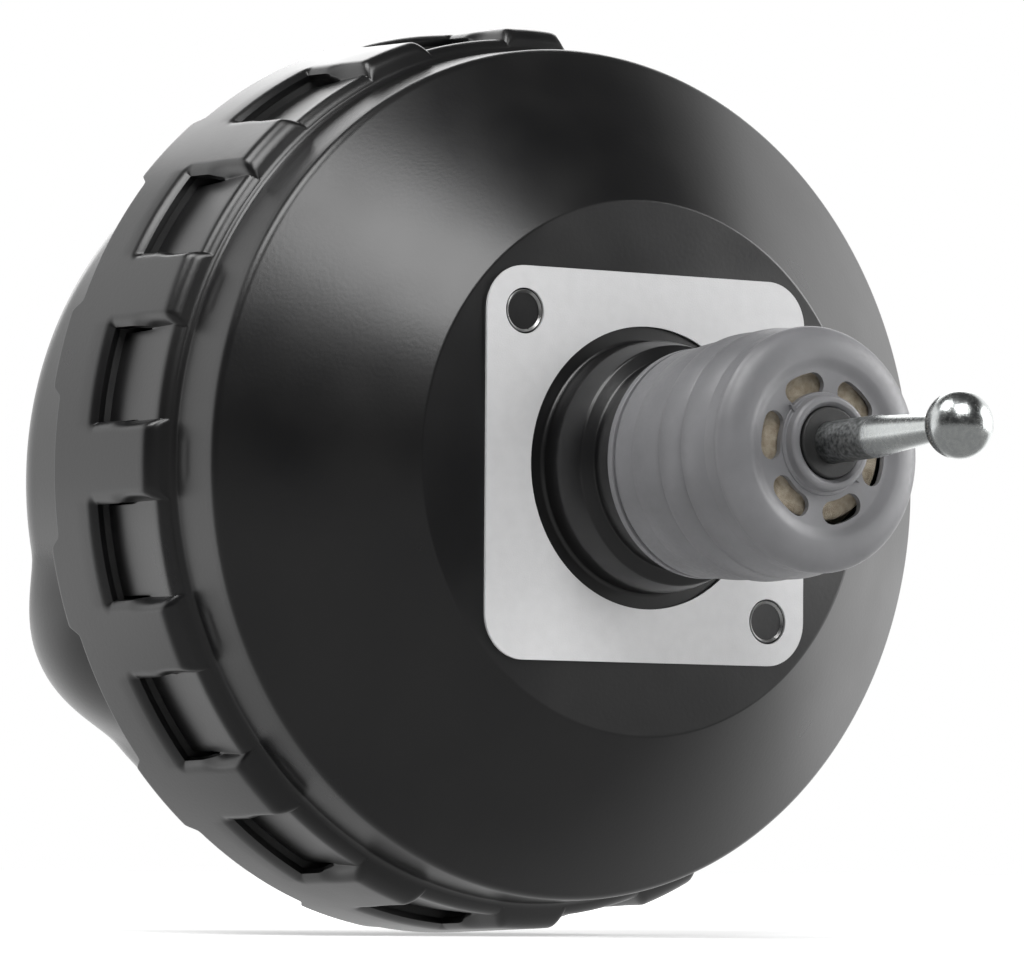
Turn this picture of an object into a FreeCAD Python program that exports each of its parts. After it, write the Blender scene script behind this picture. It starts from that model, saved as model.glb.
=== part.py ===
import FreeCAD, Part
import math
import os

# Tandem vacuum brake booster held together by two through bolts.
# Millimetres. The origin is the centre of the firewall gasket's outer face.
# -Y points to the brake pedal, +Y to the engine and the master cylinder, +Z is up.
# An angle round the axis starts at +X and grows towards +Z.

# General clearances
FIT = 0.05                      # radial gap between pieces that are pressed or seated together
RUN = 0.06                      # radial gap between pieces that slide on each other
GAP = 0.3                       # gap between soft pieces and moving ones
SHEET = 1.6                     # thickness of the pressed steel shells
CUT = 10.0                      # how far a cutter reaches past the surface that it opens

# Bolt pattern and firewall gasket
BOLT_PITCH = 80.0               # distance of the two bolts along X and along Z
GASKET_MARGIN = 12.0            # from the bolts' centres to the gasket's edges
GASKET_CORNER_R = 12.0
GASKET_THICK = 0.8
GASKET_HOLE_CLEAR = 4.5         # round the root of the neck
GASKET_BOLT_CLEAR = 0.1         # round the ends of the bolts

# Rear shell, its outer surface
NECK_R = 28.4
NECK_LENGTH = 29.3              # from the flat disc to the mouth of the neck
NECK_STEP = 3.5                 # radius gained at the step of the neck
NECK_STEP_BACK = 15.0           # from the flat disc to the step
NECK_STEP_DEPTH = 1.4
NECK_BULGE = 1.7                # radius gained from the step to the bulge
NECK_ROOT = 1.4                 # radius gained from the step to the root
NECK_BEAD_HEIGHT = 0.8
NECK_BEADS_AHEAD = (3.3, 6.3)   # from the step to each thin bead
NECK_BEAD_WIDTH = 0.8
DISC_MARGIN = 15.18             # from the bolt circle to the edge of the flat disc
CONE_DEPTH = 32.8
RING_LENGTH = 18.0
RING_DRAFT = 0.9                # radius gained along the ring
STEP_DEPTH = 2.0
STEP_WIDTH = 7.0                # from the ring out to the skirt
SKIRT_R = 125.0
SKIRT_FLARE = 1.7               # radius gained along the skirt
SKIRT_LENGTH = 45.4
TAB_HEIGHT = 3.8

# Castellated free edge, dimples and lanced pockets
TAB_COUNT = 12
NOTCH_HALF_ANGLE = 9.4
NOTCH_FLANK_ANGLE = 0.8
DIMPLES = 16
DIMPLE_BACK = 5.3               # from the step wall to the middle of a dimple
DIMPLE_TOOL_R = 2.2
DIMPLE_DEPTH = 0.8
DIMPLE_HALF_ANGLE = 2.6
POCKETS = 16
POCKET_FIRST_ANGLE = 11.25
TONGUE_HALF_ANGLE = 5.85
TONGUE_LENGTH = 27.2
TONGUE_ROOT_DROP = 4.3          # drops are inwards from the start of the skirt
TONGUE_TOP_DROP = 1.4
TONGUE_END_DROP = 4.8
TONGUE_BEND_R = 3.0
TONGUE_LAP = 0.6                # how far a tongue's root runs into the step wall
SLIT = 0.55                     # gap between a tongue and the side of its window
SHEAR_GAP = 1.7                 # slot between the sheared end and the skirt
WEB_LENGTH = 18.0               # drawn side walls of a pocket
WEB_INSIDE = 0.5                # degrees that a side wall reaches under its tongue
WEB_OUTSIDE = 0.7               # degrees that it reaches under the skirt
RELIEF_FROM = 62.7
RELIEF_TO = 85.5
RELIEF_DROP = 5.0
RELIEF_LENGTH = 24.6
RELIEF_RAMP = 7.0               # length of the curve back up to the skirt
RELIEF_LAP = 6.0                # length of skirt that the relief runs out into
RELIEF_WEB = 0.8                # degrees that its side walls take

# Front shell, its outer surface
BODY_DEPTH = 156.7              # from the flat disc to the front face
BEAD_THICK = 2.2
RIM_CLEAR = 0.5                 # from the inside of the skirt to the rim
SHOULDER_BACK = 2.5             # from the skirt's near edge to the shoulder
SHOULDER_WIDTH = 14.3
SHOULDER_DEPTH = 5.0
WALL_DRAFT = 3.0
WALL_CORNER_R = 14.0
HUB_HOLE_R = 22.0
SEAT_RISE = 1.2                 # raised oval seat of the master cylinder
SEAT_BORDER = 12.0              # from the hub hole to the sides of the seat
SEAT_END_R = 20.0
DOME_R = 30.5
DOME_INSET = 22.65              # from the wall to the dome's centre
DOME_ANGLE = 207.56
DOME_BACK = 17.5                # from the front face to the dome's centre

# Tie bolts
BOLT_SPIGOT_R = 6.0
BOLT_SHOULDER = 0.5             # radius gained from the spigots to the shaft
BOLT_WAIST = 1.5                # radius lost in the waist
BOLT_WAIST_TAPER = 3.0
BOLT_FLANGE = 3.5               # radius gained at the flanges
BOLT_FLANGE_THICK = 2.6
BOLT_SEAL_THICK = 1.0
BOLT_SEAL_INSET = 0.5
BOLT_END_BACK = 0.2             # from the gasket face to the bolt's end
TAP_R = 4.33                    # M10 x 1.25 tapped bore
TAP_DEPTH = 14.0
TAP_RIM = 0.55                  # width of the flat ring round the mouth
TAP_CHAMFER = 0.55
TAP_RELIEF_DEPTH = 2.0
STUD_R = 4.0
STUD_LENGTH = 27.5
STUD_CHAMFER = 0.7

# Power piston
TRAVEL = 28.0
REST_GAP = 7.4                  # from the rear shell to the rear plate
PLATE = 1.4
PLATE_FLAT_INSET = 2.75         # from the edge of the shell's disc to the edge of a plate's flat
PLATE_RIM_INSET = 19.4          # from the end of the shell's cone to a plate's rim
DIAPHRAGM = 1.2
ROLL_DEPTH = 12.0               # how far the front diaphragm rolls past its bead
DIVIDER = 1.5
DIVIDER_CLEAR = 9.8             # from the driven rear plate to the divider
DIVIDER_WALL_INSET = 6.8        # from the ring to the divider's wall
CHAMBER_GAP = 9.5               # from the divider to the front plate
SLIDE_R = 22.0                  # valve body's neck
SLIDE_WALL = 2.0
SLIDE_INSET = 7.3               # from the boot's face to the mouth of the valve body
BORE_STEP = 4.1                 # from the neck of the valve body to the plates' bore
HUB_STEP = 4.9                  # from the plates' bore to the hub
BOSS_LENGTH = 7.8
LOCK_RING_THICK = 1.5
LOCK_RING_WIDTH = 3.9
SEAL_WALL = 2.5                 # rubber round the tie bolts
SEAL_FLANGE = 1.5

# Control valve
PLUNGER_TRAVEL = 2.0
PIVOT_BACK = 2.8                # from the flat disc to the rod's pivot
PIVOT_BALL_R = 5.5
PLUNGER_WALL = 3.5              # round the socket
PLUNGER_SEAT_STEP = 1.8         # from the plunger to the edge of its seat
PLUNGER_SEAT_THICK = 2.8
PLUNGER_SEAT_BACK = 8.3         # from the pivot to the valve seat
PLUNGER_BODY_LENGTH = 39.7      # from the pivot to the nose
PLUNGER_NOSE_STEP = 3.0
PLUNGER_NOSE_LENGTH = 6.0
PLUNGER_NOSE_CHAMFER = 0.5
SOCKET_GRIP = 0.7               # the socket's mouth is this much under the ball
SOCKET_FLARE = 2.0
SEAT_GROOVE = 2.1               # from the plunger's seat to the seat of the valve body
SEAT_GROOVE_DEPTH = 4.0
OUTER_SEAT_WIDTH = 1.5
OUTER_SEAT_HEIGHT = 2.3
KEY_AHEAD = 16.8                # from the pivot to the stop key
KEY_THICK = 2.7
KEY_LEG = 3.0
KEY_GROOVE = 3.5                # depth of the plunger's groove for the key
KEY_INSET = 0.5                 # from the hub's surface to the key
REACTION_R = 12.5
REACTION_THICK = 8.0
DUCTS = 4
DUCT_R = 2.6
DUCT_CLEAR = 1.84               # from the reaction disc's bore to the ducts
POPPET_LAP = 1.1                # how far the poppet covers both seats
POPPET_INNER_LAP = 2.3
POPPET_WALL_STEP = 1.5
POPPET_WALL = 1.5
POPPET_THICK = 2.2
POPPET_FOOT = 2.0
POPPET_LENGTH = 23.4
RETAINER_LENGTH = 9.5
RETAINER_WALL = 1.4
RETAINER_LAP = 0.1              # how far it covers the small spring's wire
FILTER_BORE_R = 11.5
FILTER_THICK = 10.5
FOAM_THICK = 5.0
FILTER_INSET = 0.5

# Springs: wire radius, turns and the room beside them
RETURN_WIRE_R = 2.0
RETURN_CLEAR = 4.0              # from the lock ring to the spring
RETURN_TURNS = 5
POPPET_WIRE_R = 0.6
POPPET_CLEAR = 1.0              # from the poppet's wall to its spring
POPPET_TURNS = 4
ROD_WIRE_R = 0.8
ROD_CLEAR = 1.0                 # from the small spring to the rod's own spring
ROD_TURNS = 3
ROD_SPRING_LENGTH = 13.55
CHECK_WIRE_R = 0.35
CHECK_CLEAR = 0.85              # from the barrel to the spring
CHECK_TURNS = 3

# Output rod
OUTPUT_HEAD_THICK = 4.0
OUTPUT_R = 6.0
OUTPUT_HEAD_FILLET = 1.5
OUTPUT_SCREW_R = 3.0
OUTPUT_SCREW_DEPTH = 15.0
OUTPUT_HEX = 10.0               # across flats
OUTPUT_HEX_THICK = 5.0
OUTPUT_TIP_R = 4.5
OUTPUT_TIP_LENGTH = 9.0
OUTPUT_TIP_BACK = 4.0           # from the front face to the tip
OUTPUT_PLATE_LAP = 1.5          # how far the retainer reaches past the head
OUTPUT_PLATE_CLEAR = 0.6
OUTPUT_PLATE_THICK = 1.0

# Input rod
ROD_TILT = 2.02                 # degrees, the ball end stands high
ROD_R = 5.45
ROD_SHANK_CLEAR = 1.2           # from the socket's mouth to the shank
ROD_SHANK_END = 14.0            # distances along the rod start at its pivot
ROD_SHANK_TAPER = 6.0
BALL_AT = 131.6
BALL_R = 8.66
ROD_NECK = 8.0                  # from the waist to the ball's centre
ROD_CONE_LENGTH = 25.6
ROD_WAIST_R = 3.3
RING_INSET = 3.3                # from the boot's face to the near side of the ring
RING_WIDTH = 6.2
RING_WALL = 3.8
ROD_SEAT_LAP = 0.9              # how far the spring's seat reaches past the spring
SEAT_THICK = 1.6

# Boot, its radii measured from the neck and its distances from the neck's mouth
BOOT_WALL = 1.6
BOOT_TILT = 2.0                 # degrees, from the first fold to the face
BOOT_LIP = 2.0
BOOT_LIP_BACK = 4.3
BOOT_LIP_WIDTH = 2.1
BOOT_GROOVE = 1.1
BOOT_FOLDS = ((2.1, 7.7, 0.6), (3.1, 21.5, 0.9), (3.2, 31.5, 0.9), (2.7, 45.3, 0.9))
FOLD_STEP = 1.4                 # depth of a fold's step along the axis
BOOT_LENGTH = 49.8
BOOT_FACE_INSET = 4.1           # from the last fold to the flat rim of the face
BOOT_RECESS_INSET = 5.6         # from the flat rim to the recess
BOOT_RECESS_DEPTH = 0.9
COLLAR_GAP = 0.2
COLLAR_WALL = 2.9
COLLAR_WIDTH = 5.2
COLLAR_LAP = 1.4                # how far the face reaches into the collar
VENTS = 6
VENT_FIRST_ANGLE = 50.0
VENT_INSET = 1.65               # from the recess's wall to the vents
VENT_WIDTH = 6.1
VENT_HALF_ANGLE = 11.5

# Vacuum check valve
VALVE_X = 46.0
VALVE_Z = 46.0
VALVE_R = 8.0
VALVE_WALL = 2.4
VALVE_LIP = 2.2                 # width of the ledge under the spring
VALVE_LIP_THICK = 1.6
VALVE_FLANGE = 3.0              # radius gained at the flange
VALVE_FLANGE_THICK = 3.0
VALVE_INNER_LENGTH = 9.0
GROMMET_WALL = 4.0
GROMMET_FLANGE = 3.0            # radius gained at its flange
GROMMET_FLANGE_THICK = 2.5
NIPPLE_R = 5.0
NIPPLE_WALL = 1.8
NIPPLE_LENGTH = 20.0
CHECK_DISC_CLEAR = 0.4
CHECK_DISC_THICK = 1.6

# Neck bearing and seals
BEARING_LENGTH = 10.0
BEARING_INSET = 1.0
NECK_SEAL_LENGTH = 9.0
NECK_SEAL_INSET = 2.2
DIVIDER_SEAL_WALL = 5.0
DIVIDER_SEAL_FLANGE = 2.5
DIVIDER_SEAL_LIP = 1.5
DIVIDER_SEAL_LENGTH = 7.5
MASTER_SEAL_WALL = 5.0
MASTER_SEAL_FLANGE = 3.0
MASTER_SEAL_THICK = 2.0

# Radii that follow from the sizes above
BOLT_X = BOLT_PITCH / 2
BOLT_REACH = math.hypot(BOLT_X, BOLT_X)
BOLT_PLACES = ((-BOLT_X, BOLT_X), (BOLT_X, -BOLT_X))
NECK_STEP_R = NECK_R + NECK_STEP
NECK_BULGE_R = NECK_STEP_R + NECK_BULGE
NECK_BASE_R = NECK_STEP_R + NECK_ROOT
DISC_R = BOLT_REACH + DISC_MARGIN
STEP_R = SKIRT_R - SKIRT_FLARE
RING_R = STEP_R - STEP_WIDTH
CONE_R = RING_R - RING_DRAFT
CONE_SLOPE = CONE_DEPTH / (CONE_R - DISC_R)
TONGUE_ROOT_R = STEP_R - TONGUE_ROOT_DROP
TONGUE_TOP_R = STEP_R - TONGUE_TOP_DROP
TONGUE_END_R = STEP_R - TONGUE_END_DROP
RELIEF_R = STEP_R - RELIEF_DROP
GASKET_SIDE = BOLT_PITCH + 2 * GASKET_MARGIN
GASKET_HOLE_R = NECK_BASE_R + GASKET_HOLE_CLEAR
BOLT_R = BOLT_SPIGOT_R + BOLT_SHOULDER
BOLT_FLANGE_R = BOLT_R + BOLT_FLANGE
TAP_MOUTH_R = BOLT_SPIGOT_R - TAP_RIM
SEAL_BODY_R = BOLT_R + SEAL_WALL
SEAL_FLANGE_R = SEAL_BODY_R + SEAL_FLANGE
PLATE_FLAT_R = DISC_R - PLATE_FLAT_INSET
PLATE_RIM_R = CONE_R - PLATE_RIM_INSET
DIVIDER_WALL_R = RING_R - DIVIDER_WALL_INSET
SLIDE_BORE_R = SLIDE_R - SLIDE_WALL
PLATE_BORE_R = SLIDE_R + BORE_STEP
LOCK_RING_R = PLATE_BORE_R + LOCK_RING_WIDTH
HUB_R = PLATE_BORE_R + HUB_STEP
PLUNGER_R = PIVOT_BALL_R + PLUNGER_WALL
PLUNGER_SEAT_R = PLUNGER_R + PLUNGER_SEAT_STEP
PLUNGER_NOSE_R = PLUNGER_R - PLUNGER_NOSE_STEP
PLUNGER_MOUTH_R = PIVOT_BALL_R - SOCKET_GRIP
KEY_NECK_R = PLUNGER_R - KEY_GROOVE
OUTER_SEAT_R = PLUNGER_SEAT_R + SEAT_GROOVE + OUTER_SEAT_WIDTH
DUCT_PITCH_R = REACTION_R + RUN + DUCT_CLEAR + DUCT_R
POPPET_FACE_R = OUTER_SEAT_R + POPPET_LAP
POPPET_BORE_R = PLUNGER_SEAT_R - POPPET_INNER_LAP
POPPET_WALL_R = POPPET_FACE_R - POPPET_WALL_STEP
POPPET_COIL_R = POPPET_WALL_R - POPPET_WALL - POPPET_CLEAR - POPPET_WIRE_R
RETAINER_BORE_R = POPPET_COIL_R - POPPET_WIRE_R - RETAINER_LAP
ROD_COIL_R = POPPET_COIL_R + POPPET_WIRE_R + ROD_CLEAR + ROD_WIRE_R
ROD_SEAT_R = ROD_COIL_R + ROD_WIRE_R + ROD_SEAT_LAP
RETURN_COIL_R = LOCK_RING_R + RETURN_CLEAR + RETURN_WIRE_R
OUTPUT_PLATE_R = REACTION_R + OUTPUT_PLATE_LAP
ROD_SHANK_R = PLUNGER_MOUTH_R - ROD_SHANK_CLEAR
RING_OUTER_R = ROD_R + FIT + RING_WALL
BOOT_FACE_R = NECK_R + BOOT_FOLDS[-1][0] - BOOT_FACE_INSET
BOOT_RECESS_R = BOOT_FACE_R - BOOT_RECESS_INSET
COLLAR_R = RING_OUTER_R + COLLAR_GAP + COLLAR_WALL
VENT_PITCH_R = BOOT_RECESS_R - VENT_INSET - VENT_WIDTH / 2
VALVE_BORE_R = VALVE_R - VALVE_WALL
VALVE_FLANGE_R = VALVE_R + VALVE_FLANGE
GROMMET_HOLE_R = VALVE_R + GROMMET_WALL
GROMMET_FLANGE_R = GROMMET_HOLE_R + GROMMET_FLANGE
NIPPLE_BORE_R = NIPPLE_R - NIPPLE_WALL
CHECK_DISC_R = VALVE_BORE_R - CHECK_DISC_CLEAR
CHECK_COIL_R = VALVE_BORE_R - CHECK_CLEAR - CHECK_WIRE_R
DIVIDER_SEAL_R = HUB_R + DIVIDER_SEAL_WALL
DIVIDER_SEAL_FLANGE_R = DIVIDER_SEAL_R + DIVIDER_SEAL_FLANGE
MASTER_SEAL_BORE_R = HUB_HOLE_R - MASTER_SEAL_WALL
MASTER_SEAL_FLANGE_R = HUB_HOLE_R + MASTER_SEAL_FLANGE
SEAT_HALF_WIDTH = HUB_HOLE_R + SEAT_BORDER

# Places along the axis that follow from them
DISC_Y = GASKET_THICK
SHELL_IN_Y = DISC_Y + SHEET
NECK_MOUTH_Y = DISC_Y - NECK_LENGTH
NECK_STEP_Y = DISC_Y - NECK_STEP_BACK
CONE_Y = DISC_Y + CONE_DEPTH
RING_Y = CONE_Y + RING_LENGTH
STEP_Y = RING_Y + STEP_DEPTH
SKIRT_Y = STEP_Y + SKIRT_LENGTH
TAB_Y = SKIRT_Y + TAB_HEIGHT
TONGUE_Y = STEP_Y + TONGUE_LENGTH
WINDOW_Y = TONGUE_Y + SHEAR_GAP
REAR_BEAD_Y = STEP_Y + 4 * FIT
FRONT_BEAD_Y = TONGUE_Y + FIT
FRONT_RIM_Y = FRONT_BEAD_Y + BEAD_THICK + FIT
SHOULDER_Y = SKIRT_Y + SHOULDER_BACK
FRONT_Y = DISC_Y + BODY_DEPTH
FRONT_IN_Y = FRONT_Y - SHEET
SEAT_Y = FRONT_Y + SEAT_RISE
REAR_PLATE_Y = SHELL_IN_Y + REST_GAP
DIVIDER_Y = REAR_PLATE_Y + PLATE + TRAVEL + DIVIDER_CLEAR
FRONT_PLATE_Y = DIVIDER_Y + DIVIDER + CHAMBER_GAP
HUB_START_Y = REAR_PLATE_Y + PLATE + FIT
HUB_END_Y = FRONT_PLATE_Y - DIAPHRAGM - 2 * GAP
BOSS_END_Y = HUB_END_Y + BOSS_LENGTH
BOOT_FACE_Y = NECK_MOUTH_Y - BOOT_LENGTH
BOOT_TILT_Y = NECK_MOUTH_Y - BOOT_FOLDS[0][1]
SLIDE_MOUTH_Y = BOOT_FACE_Y + SLIDE_INSET
PIVOT_Y = DISC_Y - PIVOT_BACK
RING_NEAR_Y = BOOT_FACE_Y + RING_INSET
VALVE_SEAT_Y = PIVOT_Y - PLUNGER_SEAT_BACK
VALVE_FLOOR_Y = VALVE_SEAT_Y + OUTER_SEAT_HEIGHT
PLUNGER_SHOULDER_Y = PIVOT_Y + PLUNGER_BODY_LENGTH
PLUNGER_TIP_Y = PLUNGER_SHOULDER_Y + PLUNGER_NOSE_LENGTH
REACTION_Y = PLUNGER_TIP_Y + PLUNGER_TRAVEL + GAP
GUIDE_END_Y = PLUNGER_SHOULDER_Y + PLUNGER_TRAVEL + GAP
OUTPUT_Y = REACTION_Y + REACTION_THICK + 2 * FIT
KEY_Y = PIVOT_Y + KEY_AHEAD
POPPET_Y = VALVE_SEAT_Y - GAP
POPPET_REAR_Y = POPPET_Y - POPPET_LENGTH
RETAINER_Y = POPPET_REAR_Y - FIT
ROD_SEAT_Y = RETAINER_Y - RETAINER_WALL - ROD_SPRING_LENGTH
FILTER_Y = SLIDE_MOUTH_Y + FILTER_INSET
VALVE_FLANGE_Y = FRONT_Y + 2 * FIT + GROMMET_FLANGE_THICK
VALVE_START_Y = FRONT_IN_Y - VALVE_INNER_LENGTH

# Front shell's radii, which follow from the flare of the skirt at the rim
FRONT_RIM_R = STEP_R + SKIRT_FLARE * (FRONT_RIM_Y - STEP_Y) / SKIRT_LENGTH - SHEET - RIM_CLEAR
SHOULDER_R = FRONT_RIM_R - SHOULDER_WIDTH
WALL_R = SHOULDER_R - WALL_DRAFT

ORIGIN = FreeCAD.Vector(0, 0, 0)
AXIS = FreeCAD.Vector(0, 1, 0)
SIDEWAYS = FreeCAD.Vector(1, 0, 0)


def point(r, y):
    """A point of a profile, which is drawn in the XY plane."""
    return FreeCAD.Vector(r, y, 0)


def path_edges(corners):
    """Lines and tangent arcs along corners, each (r, y) or (r, y, fillet radius)."""
    edges = []
    last = point(*corners[0][:2])
    for i in range(1, len(corners)):
        here = point(*corners[i][:2])
        leave = here
        if len(corners[i]) == 3 and i + 1 < len(corners):
            after = point(*corners[i + 1][:2])
            before = point(*corners[i - 1][:2])
            way_in = (here - before).normalize()
            way_out = (after - here).normalize()
            turn = way_in.getAngle(way_out)
            cut = corners[i][2] * math.tan(turn / 2)
            inward = (way_out - way_in).normalize()
            centre = here + inward * (corners[i][2] / math.cos(turn / 2))
            start = here - way_in * cut
            leave = here + way_out * cut
            edges.append(Part.makeLine(last, start))
            edges.append(Part.Arc(start, centre - inward * corners[i][2], leave).toShape())
        else:
            edges.append(Part.makeLine(last, here))
        last = leave
    return edges


def offset_path(corners, side):
    """The same path moved by side to the left of its direction of travel."""
    places = [point(*c[:2]) for c in corners]
    ways = [(places[i + 1] - places[i]).normalize() for i in range(len(places) - 1)]
    lefts = [point(-w.y, w.x) for w in ways]
    moved = []
    for i, corner in enumerate(corners):
        before = lefts[max(i - 1, 0)]
        after = lefts[min(i, len(lefts) - 1)]
        mitre = (before + after) * (side / (1 + before.dot(after)))
        place = places[i] + mitre
        if len(corner) == 3:
            turns_left = ways[max(i - 1, 0)].cross(ways[min(i, len(ways) - 1)]).z > 0
            radius = corner[2] - side if turns_left else corner[2] + side
            moved.append((place.x, place.y, max(radius, 0.2)))
        else:
            moved.append((place.x, place.y))
    return moved


def sheet_face(corners, thickness):
    """The section of a sheet whose outer surface runs along corners, inside to the left."""
    inner = offset_path(corners, thickness)
    inner.reverse()
    edges = path_edges(corners)
    edges.append(Part.makeLine(point(*corners[-1][:2]), point(*inner[0][:2])))
    edges += path_edges(inner)
    edges.append(Part.makeLine(point(*inner[-1][:2]), point(*corners[0][:2])))
    return Part.Face(Part.Wire(edges))


def closed_face(corners):
    """The section inside a closed outline, whose last corner joins its first."""
    return Part.Face(Part.Wire(path_edges(list(corners) + [corners[0]])))


def revolved(face, start=0.0, end=360.0):
    """A section turned about the main axis from one angle to another."""
    section = at_angle(face, start)
    return section.revolve(ORIGIN, AXIS, start - end)


def sheet(corners, thickness, start=0.0, end=360.0):
    return revolved(sheet_face(corners, thickness), start, end)


def turned(corners):
    return revolved(closed_face(corners))


def tube(inner_r, outer_r, y0, y1):
    return turned([(inner_r, y0), (outer_r, y0), (outer_r, y1), (inner_r, y1)])


def rod(radius, y0, y1, x=0.0, z=0.0):
    return Part.makeCylinder(radius, y1 - y0, FreeCAD.Vector(x, y0, z), AXIS)


def at_angle(shape, angle):
    copy = shape.copy()
    copy.rotate(ORIGIN, AXIS, -angle)
    return copy


def moved(shape, x, z):
    copy = shape.copy()
    copy.translate(FreeCAD.Vector(x, 0, z))
    return copy


def tilted(shape, pivot_y, degrees):
    """A shape whose pedal end is raised by turning it about a point of the axis."""
    copy = shape.copy()
    copy.rotate(FreeCAD.Vector(0, pivot_y, 0), SIDEWAYS, -degrees)
    return copy


def angles(count, first=0.0):
    return [first + i * 360.0 / count for i in range(count)]


def coil(coil_r, wire_r, y0, y1, turns):
    """A compression spring between y0 and y1, each half turn a tilted arc of round wire."""
    rise = (y1 - y0 - 2 * wire_r) / (2 * turns)
    halves = []
    for i in range(2 * turns):
        side = 1 if i % 2 == 0 else -1
        start = FreeCAD.Vector(side * coil_r, y0 + wire_r + i * rise, 0)
        across = FreeCAD.Vector(-2 * side * coil_r, rise, 0)
        wire = Part.Face(Part.Wire(Part.makeCircle(wire_r, start, FreeCAD.Vector(0, 0, 1))))
        pivot = FreeCAD.Vector(rise, 2 * side * coil_r, 0).normalize() * -side
        halves.append(wire.revolve(start + across * 0.5, pivot, 180))
    return halves[0].fuse(halves[1:])


def radial_prism(outline, inner_r, outer_r, angle):
    """A prism pointing outwards at an angle, with an outline of (sideways, y) points."""
    corners = [FreeCAD.Vector(inner_r, y, s) for s, y in outline]
    face = Part.Face(Part.makePolygon(corners + [corners[0]]))
    return at_angle(face.extrude(SIDEWAYS * (outer_r - inner_r)), angle)


def skirt_r(y):
    """Outer radius of the flared skirt at a height."""
    return STEP_R + (SKIRT_R - STEP_R) * (y - STEP_Y) / SKIRT_LENGTH


def pocket_angles():
    """Pockets all round, except where the wide relief takes the place of one."""
    kept = angles(POCKETS, POCKET_FIRST_ANGLE)
    return [a for a in kept if not RELIEF_FROM < a < RELIEF_TO]


def rear_shell_blank():
    outline = [
        (NECK_R, NECK_MOUTH_Y),
        (NECK_R, NECK_STEP_Y - NECK_STEP_DEPTH, 0.6),
        (NECK_STEP_R, NECK_STEP_Y, 1.0),
        (NECK_BULGE_R, (NECK_STEP_Y + DISC_Y) / 2, 8.0),
        (NECK_BASE_R, DISC_Y, 1.2),
        (DISC_R, DISC_Y, 1.5),
        (CONE_R, CONE_Y, 4.0),
        (RING_R, RING_Y, 2.5),
        (STEP_R, STEP_Y, 5.0),
        (skirt_r(TAB_Y), TAB_Y),
    ]
    return sheet(outline, SHEET)


def notches():
    """Cutters that leave the free edge with raised tabs between low stretches."""
    low = math.radians(NOTCH_HALF_ANGLE - NOTCH_FLANK_ANGLE)
    high = math.radians(NOTCH_HALF_ANGLE + NOTCH_FLANK_ANGLE)
    low_s = SKIRT_R * math.sin(low)
    high_s = SKIRT_R * math.sin(high)
    outline = [(-low_s, SKIRT_Y), (low_s, SKIRT_Y), (high_s, TAB_Y), (high_s, TAB_Y + CUT),
               (-high_s, TAB_Y + CUT), (-high_s, TAB_Y)]
    return [radial_prism(outline, SKIRT_R - CUT, SKIRT_R + CUT, a) for a in angles(TAB_COUNT)]


def dimples():
    """Long shallow dimples pressed into the ring between the cone and the skirt."""
    middle_r = RING_R + DIMPLE_TOOL_R - DIMPLE_DEPTH
    middle_y = RING_Y - DIMPLE_BACK
    circle = Part.makeCircle(DIMPLE_TOOL_R, point(middle_r, middle_y), FreeCAD.Vector(0, 0, 1))
    round_face = Part.Face(Part.Wire(circle))
    cutters = []
    for angle in angles(DIMPLES):
        ends = (angle - DIMPLE_HALF_ANGLE, angle + DIMPLE_HALF_ANGLE)
        cutters.append(revolved(round_face, *ends))
        for end in ends:
            cutters.append(at_angle(Part.makeSphere(DIMPLE_TOOL_R, point(middle_r, middle_y)), end))
    return cutters


def pocket_window(angle):
    """The hole sheared in the skirt in front of and beside one tongue."""
    half = SKIRT_R * math.sin(math.radians(TONGUE_HALF_ANGLE)) + SLIT
    outline = [(-half, RING_Y), (half, RING_Y), (half, WINDOW_Y), (-half, WINDOW_Y)]
    return radial_prism(outline, TONGUE_ROOT_R, SKIRT_R + CUT, angle)


def tongue(angle):
    """The lanced tongue, pressed inwards so that its end stops the front shell."""
    slope = STEP_DEPTH / (STEP_R - RING_R)
    root_y = RING_Y + slope * (TONGUE_ROOT_R - RING_R)
    top_y = RING_Y + slope * (TONGUE_TOP_R - RING_R)
    outline = [(TONGUE_ROOT_R - TONGUE_LAP, root_y - TONGUE_LAP * slope),
               (TONGUE_TOP_R, top_y, TONGUE_BEND_R), (TONGUE_END_R, TONGUE_Y)]
    return sheet(outline, SHEET, angle - TONGUE_HALF_ANGLE, angle + TONGUE_HALF_ANGLE)


def pocket_webs(angle):
    """The drawn side walls between a tongue and the skirt."""
    top_y = STEP_Y + WEB_LENGTH
    low_r = TONGUE_TOP_R - SHEET
    end_r = TONGUE_TOP_R + (TONGUE_END_R - TONGUE_TOP_R) * WEB_LENGTH / TONGUE_LENGTH - SHEET
    side = closed_face([(low_r, STEP_Y + SHEET), (STEP_R - 1.0, STEP_Y + SHEET),
                        (skirt_r(top_y) - 0.4, top_y), (end_r, top_y)])
    inner = TONGUE_HALF_ANGLE - WEB_INSIDE
    outer = TONGUE_HALF_ANGLE + WEB_OUTSIDE
    return [revolved(side, angle + inner, angle + outer), revolved(side, angle - outer, angle - inner)]


def relief_window():
    """The stretch of skirt that is pressed in at the upper right."""
    return revolved(closed_face([(RING_R + 1.0, RING_Y - 1.0), (SKIRT_R + CUT, RING_Y - 1.0),
                                 (SKIRT_R + CUT, STEP_Y + RELIEF_LENGTH),
                                 (RING_R + 1.0, STEP_Y + RELIEF_LENGTH)]), RELIEF_FROM, RELIEF_TO)


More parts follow.
